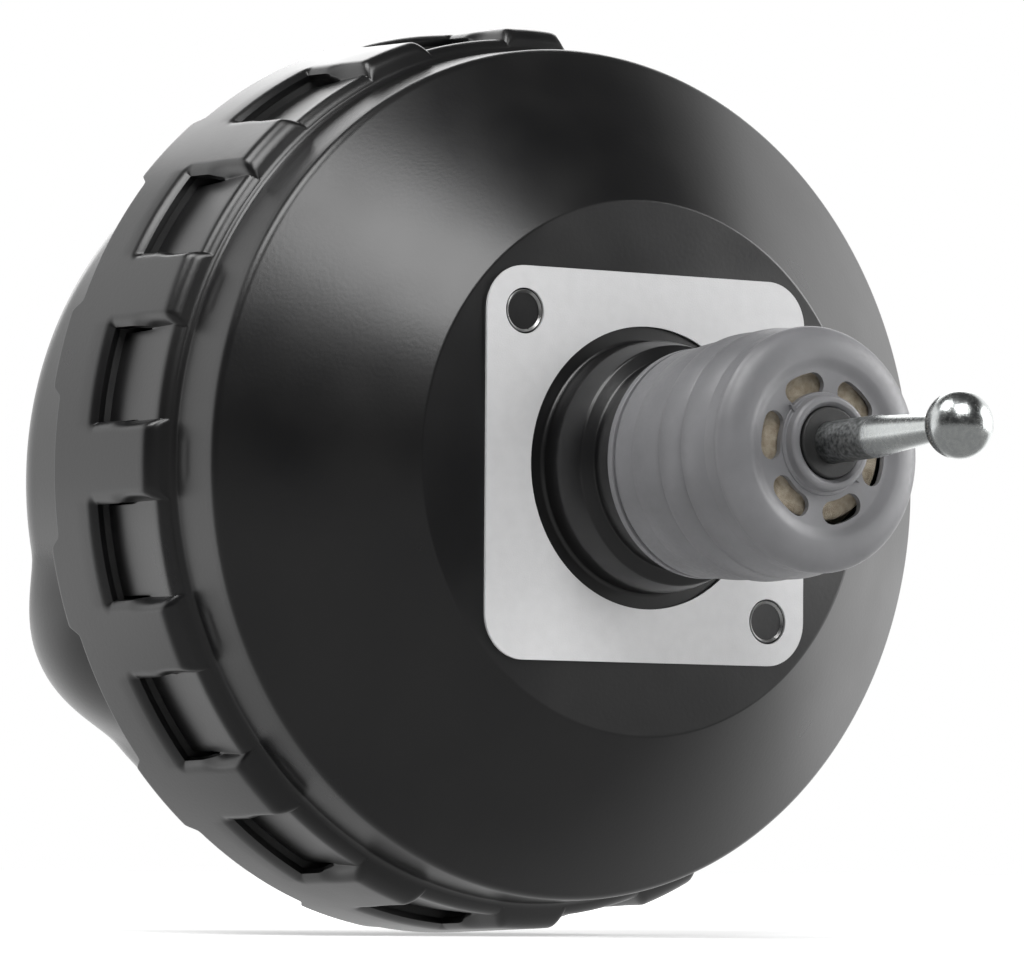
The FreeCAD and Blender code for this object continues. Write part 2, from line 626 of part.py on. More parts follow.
def relief_floor():
    end_y = STEP_Y + RELIEF_LENGTH
    ramp_y = end_y - RELIEF_RAMP
    floor = [(RING_R, RING_Y + 0.2), (RELIEF_R, RING_Y + 0.8, 1.5), (RELIEF_R, ramp_y, 5.0),
             (skirt_r(end_y), end_y + 0.5, 4.0), (skirt_r(end_y + RELIEF_LAP), end_y + RELIEF_LAP)]
    side = closed_face([(RELIEF_R - SHEET, STEP_Y + 0.5), (RELIEF_R, STEP_Y - 0.6), (STEP_R - 1.2, STEP_Y),
                        (skirt_r(end_y) - 0.6, end_y), (RELIEF_R - SHEET, ramp_y)])
    pieces = [sheet(floor, SHEET, RELIEF_FROM, RELIEF_TO)]
    pieces.append(revolved(side, RELIEF_FROM - RELIEF_WEB, RELIEF_FROM + 0.1))
    pieces.append(revolved(side, RELIEF_TO - 0.1, RELIEF_TO + RELIEF_WEB))
    return pieces


def rear_shell():
    """Pressed shell with the neck, the lanced flange and the castellated free edge."""
    shell = rear_shell_blank()
    cutters = notches() + dimples() + [relief_window()]
    cutters += [pocket_window(a) for a in pocket_angles()]
    cutters += bolt_holes(BOLT_SPIGOT_R + FIT, DISC_Y - CUT, SHELL_IN_Y + CUT)
    shell = shell.cut(cutters)
    added = relief_floor()
    for angle in pocket_angles():
        added.append(tongue(angle))
        added += pocket_webs(angle)
    for ahead in NECK_BEADS_AHEAD:
        bead_y = NECK_STEP_Y - ahead
        added.append(tube(NECK_R - SHEET / 2, NECK_R + NECK_BEAD_HEIGHT, bead_y, bead_y + NECK_BEAD_WIDTH))
    return shell.fuse(added).removeSplitter()


def firewall_gasket():
    plate = Part.makeBox(GASKET_SIDE, GASKET_THICK - FIT, GASKET_SIDE,
                         FreeCAD.Vector(-GASKET_SIDE / 2, 0, -GASKET_SIDE / 2))
    upright = [e for e in plate.Edges if abs(e.tangentAt(e.FirstParameter).y) > 0.9]
    plate = plate.makeFillet(GASKET_CORNER_R, upright)
    holes = [rod(GASKET_HOLE_R, -CUT, CUT)]
    holes += bolt_holes(BOLT_SPIGOT_R + GASKET_BOLT_CLEAR, -CUT, CUT)
    return plate.cut(holes)


def oval_seat(half_width, end_r, y0, y1):
    """A block whose outline goes round the centre hole and both studs."""
    ends = [rod(end_r, y0, y1, BOLT_REACH, 0), rod(end_r, y0, y1, -BOLT_REACH, 0)]
    lean = math.acos((half_width - end_r) / BOLT_REACH)
    corners = []
    for way in (lean, math.pi - lean, math.pi + lean, -lean):
        side = 1 if math.cos(way) > 0 else -1
        corners.append(FreeCAD.Vector(side * BOLT_REACH + end_r * math.cos(way), y0, end_r * math.sin(way)))
        corners.append(FreeCAD.Vector(half_width * math.cos(way), y0, half_width * math.sin(way)))
    ordered = [corners[i] for i in (0, 1, 3, 2, 4, 5, 7, 6)]
    middle = Part.Face(Part.makePolygon(ordered + [ordered[0]])).extrude(AXIS * (y1 - y0))
    block = rod(half_width, y0, y1).fuse(ends + [middle]).removeSplitter()
    return at_angle(block, 135)


def front_shell_body(wall):
    """The filled outer form of the front shell, or its hollow when wall is its thickness."""
    base_y = FRONT_RIM_Y - wall
    outline = offset_path([
        (FRONT_RIM_R, base_y),
        (FRONT_RIM_R, SHOULDER_Y, 3.0),
        (SHOULDER_R, SHOULDER_Y + SHOULDER_DEPTH, 5.0),
        (WALL_R, FRONT_Y, WALL_CORNER_R),
        (0.0, FRONT_Y),
    ], wall)
    body = turned(outline + [(0.0, base_y)])
    ball = Part.makeSphere(DOME_R - wall, FreeCAD.Vector(WALL_R - DOME_INSET, FRONT_Y - DOME_BACK, 0))
    ball = at_angle(ball, DOME_ANGLE).common(rod(2 * WALL_R, SHOULDER_Y, FRONT_Y - wall))
    seat = oval_seat(SEAT_HALF_WIDTH - wall, SEAT_END_R - wall, FRONT_Y - 2 * SHEET, SEAT_Y - wall)
    return body.fuse([ball, seat])


def front_shell():
    """Deep pressed shell with the bulge, the oval seat and the vacuum port."""
    shell = front_shell_body(0.0).cut(front_shell_body(SHEET))
    holes = [rod(HUB_HOLE_R, FRONT_IN_Y - CUT, SEAT_Y + CUT)]
    holes += bolt_holes(BOLT_SPIGOT_R + FIT, FRONT_IN_Y - CUT, SEAT_Y + CUT)
    holes.append(rod(GROMMET_HOLE_R, FRONT_IN_Y - CUT, FRONT_Y + CUT, VALVE_X, VALVE_Z))
    return shell.cut(holes).removeSplitter()


def tie_bolt(x, z):
    """Bolt through both shells, tapped at the pedal end and a stud at the engine end."""
    rear_y = SHELL_IN_Y + BOLT_SEAL_THICK + 2 * FIT
    front_y = SEAT_Y - SHEET - BOLT_SEAL_THICK - 2 * FIT
    waist_y = FRONT_PLATE_Y + TRAVEL + 10.0
    stud_y = SEAT_Y + STUD_LENGTH
    waist_r = BOLT_R - BOLT_WAIST
    relief_r = TAP_MOUTH_R - TAP_CHAMFER
    relief_y = BOLT_END_BACK + TAP_CHAMFER
    tap_y = relief_y + TAP_RELIEF_DEPTH
    shaft = turned([
        (TAP_MOUTH_R, BOLT_END_BACK),
        (BOLT_SPIGOT_R, BOLT_END_BACK),
        (BOLT_SPIGOT_R, rear_y),
        (BOLT_FLANGE_R, rear_y),
        (BOLT_FLANGE_R, rear_y + BOLT_FLANGE_THICK),
        (BOLT_R, rear_y + BOLT_FLANGE_THICK),
        (BOLT_R, waist_y),
        (waist_r, waist_y + BOLT_WAIST_TAPER),
        (waist_r, front_y - BOLT_FLANGE_THICK),
        (BOLT_FLANGE_R, front_y - BOLT_FLANGE_THICK),
        (BOLT_FLANGE_R, front_y),
        (BOLT_SPIGOT_R, front_y),
        (BOLT_SPIGOT_R, SEAT_Y),
        (STUD_R, SEAT_Y),
        (STUD_R, stud_y - STUD_CHAMFER),
        (STUD_R - STUD_CHAMFER, stud_y),
        (0.0, stud_y),
        (0.0, tap_y + TAP_DEPTH + TAP_R / 2),
        (TAP_R, tap_y + TAP_DEPTH),
        (TAP_R, tap_y),
        (relief_r, tap_y),
        (relief_r, relief_y),
    ])
    return moved(shaft, x, z)


def bolt_end_seals():
    """Rubber washers under the bolt flanges, against both shells."""
    seals = []
    for x, z in BOLT_PLACES:
        for y in (SHELL_IN_Y + FIT, SEAT_Y - SHEET - FIT - BOLT_SEAL_THICK):
            ring = tube(BOLT_SPIGOT_R + FIT, BOLT_FLANGE_R - BOLT_SEAL_INSET, y, y + BOLT_SEAL_THICK)
            seals.append(moved(ring, x, z))
    return Part.makeCompound(seals)


def bolt_holes(radius, y0, y1):
    return [rod(radius, y0, y1, x, z) for x, z in BOLT_PLACES]


def sliding_bolt_seals():
    """Lip seals in both plates of the power piston, running on the tie bolts."""
    seals = []
    for plate_y in (REAR_PLATE_Y, FRONT_PLATE_Y):
        front_y = plate_y + PLATE + FIT
        seal = turned([(BOLT_R + RUN, plate_y - DIAPHRAGM), (SEAL_BODY_R, plate_y - DIAPHRAGM),
                       (SEAL_BODY_R, front_y), (SEAL_FLANGE_R, front_y),
                       (SEAL_FLANGE_R, front_y + 1.5), (BOLT_R + RUN, front_y + 1.5)])
        seals += [moved(seal, x, z) for x, z in BOLT_PLACES]
    return Part.makeCompound(seals)


def divider_bolt_seals():
    """Rubber bushes that close the divider round the tie bolts."""
    front_y = DIVIDER_Y + DIVIDER + FIT
    bush = turned([(BOLT_R + FIT, DIVIDER_Y - 1.0), (SEAL_BODY_R, DIVIDER_Y - 1.0),
                   (SEAL_BODY_R, front_y), (SEAL_FLANGE_R, front_y),
                   (SEAL_FLANGE_R, front_y + 1.5), (BOLT_R + FIT, front_y + 1.5)])
    return Part.makeCompound([moved(bush, x, z) for x, z in BOLT_PLACES])


def support_plate(plate_y):
    """Steel plate that backs a diaphragm, coned like the shell in front of it."""
    rise = CONE_SLOPE * (PLATE_RIM_R - PLATE_FLAT_R)
    outline = [(PLATE_BORE_R, plate_y), (PLATE_FLAT_R, plate_y, 4.0), (PLATE_RIM_R, plate_y + rise)]
    plate = sheet(outline, PLATE)
    return plate.cut(bolt_holes(SEAL_BODY_R + FIT, plate_y - CUT, plate_y + CUT))


def diaphragm(plate_y, bead_y, bore_r, roll):
    """Rubber diaphragm lying on its plate, with a rolled edge and a clamped bead."""
    web_y = plate_y - GAP - DIAPHRAGM
    rise = CONE_SLOPE * (PLATE_RIM_R + 1.5 - PLATE_FLAT_R)
    outline = [(bore_r, web_y), (PLATE_FLAT_R + 0.7, web_y, 4.0), (PLATE_RIM_R + 1.5, web_y + rise, 1.5)]
    outline += roll
    skin = sheet(outline, DIAPHRAGM)
    end_r = roll[-1][0]
    bead = tube(end_r - 2.0, end_r + 3.0, bead_y, bead_y + BEAD_THICK)
    holes = bolt_holes(SEAL_BODY_R + GAP, web_y - CUT, plate_y + CUT)
    return skin.cut(holes).fuse(bead).removeSplitter()


def rear_diaphragm():
    turn_y = REAR_BEAD_Y + 0.5
    roll = [(RING_R - 10.3, REAR_BEAD_Y - 19.0, 2.0), (RING_R - 8.0, turn_y, 1.5), (RING_R - 3.4, turn_y)]
    return diaphragm(REAR_PLATE_Y, REAR_BEAD_Y, LOCK_RING_R + GAP, roll)


def front_diaphragm():
    turn_y = FRONT_BEAD_Y + ROLL_DEPTH
    end_y = FRONT_BEAD_Y + 0.5
    roll = [(PLATE_RIM_R + 4.0, turn_y, 2.0), (FRONT_RIM_R - 10.0, turn_y, 4.0),
            (FRONT_RIM_R - 8.0, end_y, 1.5), (FRONT_RIM_R - 4.0, end_y)]
    return diaphragm(FRONT_PLATE_Y, FRONT_BEAD_Y, PLATE_BORE_R + GAP, roll)


def divider():
    """Fixed plate between the two chambers, clamped at its rim."""
    rim_y = REAR_BEAD_Y + BEAD_THICK + FIT
    rim_r = RELIEF_R - SHEET - GAP
    top_y = DIVIDER_Y + CONE_SLOPE * (DIVIDER_WALL_R - 1.5 - PLATE_FLAT_R - 2.0)
    outline = [(DIVIDER_SEAL_R, DIVIDER_Y), (PLATE_FLAT_R + 2.0, DIVIDER_Y, 4.0),
               (DIVIDER_WALL_R - 1.5, top_y, 4.0), (DIVIDER_WALL_R, rim_y, 2.0), (rim_r, rim_y)]
    plate = sheet(outline, DIVIDER)
    return plate.cut(bolt_holes(SEAL_BODY_R + FIT, DIVIDER_Y - CUT, DIVIDER_Y + CUT))


def divider_seal():
    """Seal between the divider and the sliding hub of the valve body."""
    groove_y = DIVIDER_Y - FIT
    front_y = DIVIDER_Y + DIVIDER + FIT
    start_y = groove_y - DIVIDER_SEAL_LIP - 1.0
    end_y = start_y + DIVIDER_SEAL_LENGTH
    groove_r = DIVIDER_SEAL_R - FIT
    return turned([(HUB_R + RUN, start_y), (groove_r, start_y), (DIVIDER_SEAL_FLANGE_R, groove_y - 1.2),
                   (DIVIDER_SEAL_FLANGE_R, groove_y), (groove_r, groove_y), (groove_r, front_y),
                   (DIVIDER_SEAL_FLANGE_R, front_y), (DIVIDER_SEAL_FLANGE_R, front_y + 1.2),
                   (groove_r, end_y), (HUB_R + RUN, end_y)])


def neck_bearing():
    """Plastic guide of the valve body, pressed into the mouth of the neck."""
    start_y = NECK_MOUTH_Y + BEARING_INSET
    return tube(SLIDE_R + RUN, NECK_R - SHEET - FIT, start_y, start_y + BEARING_LENGTH)


def neck_seal():
    """Lip seal on the valve body, in the wide part of the neck."""
    start_y = NECK_STEP_Y + NECK_SEAL_INSET
    return turned([(SLIDE_R + RUN, start_y), (NECK_STEP_R - SHEET - 0.4, start_y),
                   (NECK_STEP_R - SHEET, start_y + NECK_SEAL_LENGTH),
                   (NECK_STEP_R - SHEET - 3.0, start_y + NECK_SEAL_LENGTH),
                   (SLIDE_R + 3.0, start_y + 3.0), (SLIDE_R + 2.0, start_y + NECK_SEAL_LENGTH - 1.0),
                   (SLIDE_R + RUN, start_y + NECK_SEAL_LENGTH - 1.0)])


def valve_body():
    """Plastic body that joins both plates and holds the control valve."""
    outline = [
        (SLIDE_BORE_R, SLIDE_MOUTH_Y),
        (SLIDE_R - 0.5, SLIDE_MOUTH_Y),
        (SLIDE_R, SLIDE_MOUTH_Y + 0.8),
        (SLIDE_R, REAR_PLATE_Y - FIT),
        (PLATE_BORE_R - FIT, REAR_PLATE_Y - FIT),
        (PLATE_BORE_R - FIT, HUB_START_Y),
        (HUB_R, HUB_START_Y),
        (HUB_R, HUB_END_Y),
        (PLATE_BORE_R - FIT, HUB_END_Y),
        (PLATE_BORE_R - FIT, BOSS_END_Y),
        (REACTION_R + RUN, BOSS_END_Y),
        (REACTION_R + RUN, REACTION_Y - FIT),
        (PLUNGER_NOSE_R + RUN, REACTION_Y - FIT),
        (PLUNGER_NOSE_R + RUN, GUIDE_END_Y),
        (PLUNGER_R + RUN, GUIDE_END_Y),
        (PLUNGER_R + RUN, VALVE_FLOOR_Y + SEAT_GROOVE_DEPTH),
        (PLUNGER_SEAT_R + 0.5, VALVE_FLOOR_Y + SEAT_GROOVE_DEPTH),
        (PLUNGER_SEAT_R + 0.5, VALVE_FLOOR_Y),
        (OUTER_SEAT_R - OUTER_SEAT_WIDTH, VALVE_FLOOR_Y),
        (OUTER_SEAT_R - OUTER_SEAT_WIDTH, VALVE_SEAT_Y),
        (OUTER_SEAT_R, VALVE_SEAT_Y),
        (OUTER_SEAT_R, VALVE_FLOOR_Y),
        (SLIDE_BORE_R, VALVE_FLOOR_Y),
    ]
    half = PLUNGER_R + RUN + 0.2
    key_slot = Part.makeBox(2 * half, KEY_THICK + 2 * GAP, HUB_R + CUT + half,
                            FreeCAD.Vector(-half, KEY_Y - GAP, -HUB_R - CUT))
    duct = rod(DUCT_R, VALVE_FLOOR_Y - CUT, BOSS_END_Y + CUT, DUCT_PITCH_R, 0)
    cutters = [at_angle(duct, a) for a in angles(DUCTS, 45.0)]
    return turned(outline).cut(cutters + [key_slot])


def lock_ring(shaft_r, y):
    return tube(shaft_r + FIT, LOCK_RING_R, y, y + LOCK_RING_THICK)


def rear_lock_ring():
    return lock_ring(SLIDE_R, REAR_PLATE_Y - FIT - LOCK_RING_THICK)


def front_lock_ring():
    return lock_ring(PLATE_BORE_R - FIT, FRONT_PLATE_Y + PLATE + FIT)


def plunger():
    """Air valve plunger with the rod's ball socket at the pedal end."""
    groove_from = KEY_Y - PLUNGER_TRAVEL - GAP
    groove_to = KEY_Y + KEY_THICK + GAP
    body = turned([
        (0.0, VALVE_SEAT_Y),
        (PLUNGER_SEAT_R, VALVE_SEAT_Y),
        (PLUNGER_SEAT_R, VALVE_SEAT_Y + PLUNGER_SEAT_THICK),
        (PLUNGER_R, VALVE_SEAT_Y + PLUNGER_SEAT_THICK),
        (PLUNGER_R, groove_from),
        (KEY_NECK_R, groove_from),
        (KEY_NECK_R, groove_to),
        (PLUNGER_R, groove_to),
        (PLUNGER_R, PLUNGER_SHOULDER_Y),
        (PLUNGER_NOSE_R, PLUNGER_SHOULDER_Y),
        (PLUNGER_NOSE_R, PLUNGER_TIP_Y - PLUNGER_NOSE_CHAMFER),
        (PLUNGER_NOSE_R - PLUNGER_NOSE_CHAMFER, PLUNGER_TIP_Y),
        (0.0, PLUNGER_TIP_Y),
    ])
    socket = Part.makeSphere(PIVOT_BALL_R + RUN, FreeCAD.Vector(0, PIVOT_Y, 0))
    mouth = rod(PLUNGER_MOUTH_R, VALVE_SEAT_Y - 1, PIVOT_Y)
    flare = Part.makeCone(PLUNGER_MOUTH_R + SOCKET_FLARE, PLUNGER_MOUTH_R, SOCKET_FLARE,
                          FreeCAD.Vector(0, VALVE_SEAT_Y, 0), AXIS)
    return body.cut([socket, mouth, flare])


def stop_key():
    """Forked key through the valve body that limits the plunger."""
    half = KEY_NECK_R + GAP + KEY_LEG
    low_z = KEY_INSET - HUB_R
    plate = Part.makeBox(2 * half, KEY_THICK, PLUNGER_R - KEY_INSET - low_z,
                         FreeCAD.Vector(-half, KEY_Y, low_z))
    fork = KEY_NECK_R + GAP
    gap = Part.makeBox(2 * fork, KEY_THICK + 2, HUB_R, FreeCAD.Vector(-fork, KEY_Y - 1, 0))
    return plate.cut([gap, rod(fork, KEY_Y - 1, KEY_Y + KEY_THICK + 1)])


def reaction_disc():
    return rod(REACTION_R, REACTION_Y, REACTION_Y + REACTION_THICK)


def output_rod():
    """Push rod to the master cylinder, with its head on the reaction disc."""
    end_y = FRONT_Y - OUTPUT_TIP_BACK - OUTPUT_TIP_LENGTH - OUTPUT_HEX_THICK
    head_y = OUTPUT_Y + OUTPUT_HEAD_THICK
    tap_r = OUTPUT_SCREW_R + FIT
    tap_y = end_y - OUTPUT_SCREW_DEPTH
    return turned([(0.0, OUTPUT_Y), (REACTION_R, OUTPUT_Y), (REACTION_R, head_y),
                   (OUTPUT_R + OUTPUT_HEAD_FILLET, head_y), (OUTPUT_R, head_y + OUTPUT_HEAD_FILLET),
                   (OUTPUT_R, end_y), (tap_r, end_y), (tap_r, tap_y), (0.0, tap_y)])


def output_tip():
    """Adjusting screw with a domed end in the output rod."""
    tip_y = FRONT_Y - OUTPUT_TIP_BACK
    neck_y = tip_y - OUTPUT_TIP_LENGTH
    hex_y = neck_y - OUTPUT_HEX_THICK
    end_y = hex_y - OUTPUT_SCREW_DEPTH + 1.0
    reach = OUTPUT_HEX / math.sqrt(3)
    corners = []
    for angle in angles(6):
        corners.append(FreeCAD.Vector(reach * math.cos(math.radians(angle)), hex_y + FIT,
                                      reach * math.sin(math.radians(angle))))
    head = Part.Face(Part.makePolygon(corners + [corners[0]])).extrude(AXIS * (OUTPUT_HEX_THICK - FIT))
    shank = turned([(0.0, end_y), (OUTPUT_SCREW_R, end_y),
                    (OUTPUT_SCREW_R, neck_y - 1.0), (OUTPUT_TIP_R, neck_y - 1.0),
                    (OUTPUT_TIP_R, tip_y, OUTPUT_TIP_R * 0.8), (0.0, tip_y)])
    return head.fuse(shank).removeSplitter()


def output_rod_retainer():
    start_y = BOSS_END_Y + FIT
    return tube(OUTPUT_R + OUTPUT_PLATE_CLEAR, OUTPUT_PLATE_R, start_y, start_y + OUTPUT_PLATE_THICK)


def poppet_valve():
    """Rubber valve that closes on the plunger and then on the valve body."""
    wall_in = POPPET_WALL_R - POPPET_WALL
    back_y = POPPET_Y - POPPET_THICK
    foot_r = SLIDE_BORE_R - FIT
    foot_y = POPPET_REAR_Y + POPPET_FOOT
    return turned([(POPPET_BORE_R, POPPET_Y), (POPPET_FACE_R, POPPET_Y), (POPPET_FACE_R, back_y),
                   (POPPET_WALL_R, back_y), (POPPET_WALL_R, foot_y), (foot_r, foot_y),
                   (foot_r, POPPET_REAR_Y), (wall_in, POPPET_REAR_Y), (wall_in, back_y),
                   (POPPET_BORE_R, back_y)])


def poppet_retainer():
    """Steel cup that clamps the poppet and carries both small springs."""
    start_y = RETAINER_Y - RETAINER_LENGTH
    sleeve_in = SLIDE_BORE_R - FIT - RETAINER_WALL
    return turned([(sleeve_in, start_y), (SLIDE_BORE_R - FIT, start_y), (SLIDE_BORE_R - FIT, RETAINER_Y),
                   (RETAINER_BORE_R, RETAINER_Y), (RETAINER_BORE_R, RETAINER_Y - RETAINER_WALL),
                   (sleeve_in, RETAINER_Y - RETAINER_WALL)])


def poppet_spring():
    return coil(POPPET_COIL_R, POPPET_WIRE_R, RETAINER_Y + FIT, POPPET_Y - POPPET_THICK - FIT, POPPET_TURNS)


def rod_return_spring():
    lift = ROD_SEAT_R * math.sin(math.radians(ROD_TILT))
    return coil(ROD_COIL_R, ROD_WIRE_R, ROD_SEAT_Y + lift + FIT, RETAINER_Y - RETAINER_WALL - FIT, ROD_TURNS)


def return_spring():
    return coil(RETURN_COIL_R, RETURN_WIRE_R, FRONT_PLATE_Y + PLATE + FIT, FRONT_IN_Y - FIT, RETURN_TURNS)


def air_filter():
    return tube(FILTER_BORE_R, SLIDE_BORE_R - FIT, FILTER_Y, FILTER_Y + FILTER_THICK)


def silencer_foam():
    start_y = FILTER_Y + FILTER_THICK + FIT
    return tube(FILTER_BORE_R, SLIDE_BORE_R - FIT, start_y, start_y + FOAM_THICK)


def along_rod(shape):
    """Places a shape that was built straight, with the rod's pivot on the axis."""
    return tilted(shape, PIVOT_Y, ROD_TILT)


def input_rod():
    """Pedal push rod from its pivot ball to the polished ball end."""
    inner_cut = math.sqrt(PIVOT_BALL_R ** 2 - ROD_SHANK_R ** 2)
    outer_cut = math.sqrt(BALL_R ** 2 - ROD_WAIST_R ** 2)
    shank_y = PIVOT_Y - ROD_SHANK_END
    ball_y = PIVOT_Y - BALL_AT
    waist_y = ball_y + ROD_NECK
    stem = turned([(0.0, PIVOT_Y - inner_cut / 2), (ROD_SHANK_R, PIVOT_Y - inner_cut / 2),
                   (ROD_SHANK_R, shank_y), (ROD_R, shank_y - ROD_SHANK_TAPER),
                   (ROD_R, waist_y + ROD_CONE_LENGTH, 8.0), (ROD_WAIST_R, waist_y, 3.0),
                   (ROD_WAIST_R, ball_y + outer_cut / 2), (0.0, ball_y + outer_cut / 2)])
    balls = [Part.makeSphere(PIVOT_BALL_R, FreeCAD.Vector(0, PIVOT_Y, 0)),
             Part.makeSphere(BALL_R, FreeCAD.Vector(0, ball_y, 0))]
    return along_rod(stem.fuse(balls).removeSplitter())


def rod_spring_seat():
    return along_rod(tube(ROD_R + FIT, ROD_SEAT_R, ROD_SEAT_Y - SEAT_THICK, ROD_SEAT_Y))


def rod_ring():
    """Black ring on the rod that the boot's collar grips."""
    outer_y = RING_NEAR_Y - RING_WIDTH
    return along_rod(turned([(ROD_R + FIT, outer_y), (RING_OUTER_R, outer_y, 0.6),
                             (RING_OUTER_R, RING_NEAR_Y), (ROD_R + FIT, RING_NEAR_Y)]))


def boot_folds():
    """Outer corners of the bellows from its face back to the first fold."""
    corners = []
    for gain, ahead, rise in reversed(BOOT_FOLDS[1:]):
        crest_y = NECK_MOUTH_Y - ahead
        corners.append((NECK_R + gain + rise, crest_y, 0.3))
        corners.append((NECK_R + gain, crest_y + FOLD_STEP))
    gain, ahead, rise = BOOT_FOLDS[0]
    corners.append((NECK_R + gain + rise, NECK_MOUTH_Y - ahead))
    return corners


def boot_vent():
    """One curved vent through the face of the boot."""
    low_y = BOOT_FACE_Y - CUT
    high_y = BOOT_FACE_Y + CUT
    inner = VENT_PITCH_R - VENT_WIDTH / 2
    outer = VENT_PITCH_R + VENT_WIDTH / 2
    face = closed_face([(inner, low_y), (outer, low_y), (outer, high_y), (inner, high_y)])
    end = rod(VENT_WIDTH / 2, low_y, high_y, VENT_PITCH_R, 0)
    body = revolved(face, -VENT_HALF_ANGLE, VENT_HALF_ANGLE)
    return body.fuse([at_angle(end, -VENT_HALF_ANGLE), at_angle(end, VENT_HALF_ANGLE)])


def boot_sleeve():
    """The straight start of the boot, with the lip that grips the neck."""
    mouth_y = NECK_MOUTH_Y + 4 * FIT
    lip_y = NECK_MOUTH_Y + BOOT_LIP_BACK
    groove_y = lip_y - BOOT_LIP_WIDTH
    groove_r = NECK_R + BOOT_GROOVE
    first_r = NECK_R + BOOT_FOLDS[0][0]
    end_y = BOOT_TILT_Y - 2.0
    return turned([(NECK_R + FIT, mouth_y), (NECK_R + FIT, lip_y), (NECK_R + BOOT_LIP, lip_y, 0.4),
                   (NECK_R + BOOT_LIP, groove_y, 0.3), (groove_r, groove_y - 0.1),
                   (groove_r, mouth_y + 0.2), (first_r, mouth_y, 0.3), (first_r, end_y),
                   (first_r - BOOT_WALL, end_y), (first_r - BOOT_WALL, mouth_y)])


def boot_bellows():
    """The folds and the vented face, which lean with the rod."""
    recess_y = BOOT_FACE_Y + BOOT_RECESS_DEPTH
    outline = [(COLLAR_R - COLLAR_LAP, recess_y),
               (BOOT_RECESS_R - 0.4, recess_y, 0.3),
               (BOOT_RECESS_R + 0.6, BOOT_FACE_Y, 0.5),
               (BOOT_FACE_R, BOOT_FACE_Y, 4.0)]
    vents = [at_angle(boot_vent(), a) for a in angles(VENTS, VENT_FIRST_ANGLE)]
    bellows = sheet(outline + boot_folds(), BOOT_WALL).cut(vents)
    return tilted(bellows, BOOT_TILT_Y, BOOT_TILT)


def boot_collar():
    """The thick collar of the boot's face, which follows the rod."""
    near_y = RING_NEAR_Y - 1.0
    inner_r = RING_OUTER_R + COLLAR_GAP
    return along_rod(turned([(inner_r, near_y - COLLAR_WIDTH), (COLLAR_R, near_y - COLLAR_WIDTH, 0.8),
                             (COLLAR_R, near_y), (inner_r, near_y)]))


def boot():
    """Rubber bellows from the neck to the ring on the rod."""
    return boot_bellows().fuse([boot_sleeve(), boot_collar()]).removeSplitter()


def at_check_valve(shape):
    return moved(shape, VALVE_X, VALVE_Z)


def vacuum_grommet():
    """Rubber bush of the check valve in the front shell."""
    inner_y = FRONT_IN_Y - FIT
    outer_y = FRONT_Y + FIT
    groove_r = GROMMET_HOLE_R - FIT
    start_y = inner_y - GROMMET_FLANGE_THICK
    end_y = outer_y + GROMMET_FLANGE_THICK
    return at_check_valve(turned([(VALVE_R + FIT, start_y), (GROMMET_HOLE_R, start_y),
                                  (GROMMET_FLANGE_R - 1.0, inner_y), (groove_r, inner_y),
                                  (groove_r, outer_y), (GROMMET_FLANGE_R, outer_y),
                                  (GROMMET_FLANGE_R, end_y), (VALVE_R + FIT, end_y)]))


def check_valve_body():
    """Barrel of the check valve, with the ledge of its spring at the inner end."""
    lip_r = VALVE_BORE_R - VALVE_LIP
    lip_y = VALVE_START_Y + VALVE_LIP_THICK
    end_y = VALVE_FLANGE_Y + VALVE_FLANGE_THICK
    return at_check_valve(turned([(lip_r, VALVE_START_Y), (VALVE_R, VALVE_START_Y), (VALVE_R, VALVE_FLANGE_Y),
                                  (VALVE_FLANGE_R, VALVE_FLANGE_Y), (VALVE_FLANGE_R, end_y),
                                  (VALVE_BORE_R, end_y), (VALVE_BORE_R, lip_y), (lip_r, lip_y)]))


def hose_nipple():
    """Hose nipple welded on the check valve's flange."""
    start_y = VALVE_FLANGE_Y + VALVE_FLANGE_THICK + FIT
    barrel_y = start_y + 3.0
    end_y = barrel_y + NIPPLE_LENGTH
    return at_check_valve(turned([(NIPPLE_BORE_R, start_y), (VALVE_FLANGE_R, start_y),
                                  (VALVE_FLANGE_R, start_y + 2.0), (NIPPLE_R, barrel_y),
                                  (NIPPLE_R, end_y - 1.0), (NIPPLE_R - 0.6, end_y), (NIPPLE_BORE_R, end_y)]))


def check_disc():
    """Rubber disc that rests on the hose nipple's inner face."""
    end_y = VALVE_FLANGE_Y + VALVE_FLANGE_THICK - FIT
    return at_check_valve(rod(CHECK_DISC_R, end_y - CHECK_DISC_THICK, end_y))


def check_spring():
    end_y = VALVE_FLANGE_Y + VALVE_FLANGE_THICK - 2 * FIT - CHECK_DISC_THICK
    start_y = VALVE_START_Y + VALVE_LIP_THICK + FIT
    return at_check_valve(coil(CHECK_COIL_R, CHECK_WIRE_R, start_y, end_y, CHECK_TURNS))


def master_cylinder_seal():
    """Rubber seal for the nose of the master cylinder, in the centre hole."""
    inner_y = SEAT_Y - SHEET - FIT
    start_y = inner_y - MASTER_SEAL_THICK
    end_y = SEAT_Y - FIT
    return turned([(MASTER_SEAL_BORE_R, start_y), (MASTER_SEAL_FLANGE_R, start_y),
                   (MASTER_SEAL_FLANGE_R, inner_y), (HUB_HOLE_R - FIT, inner_y),
                   (HUB_HOLE_R - FIT, end_y), (MASTER_SEAL_BORE_R, end_y)])


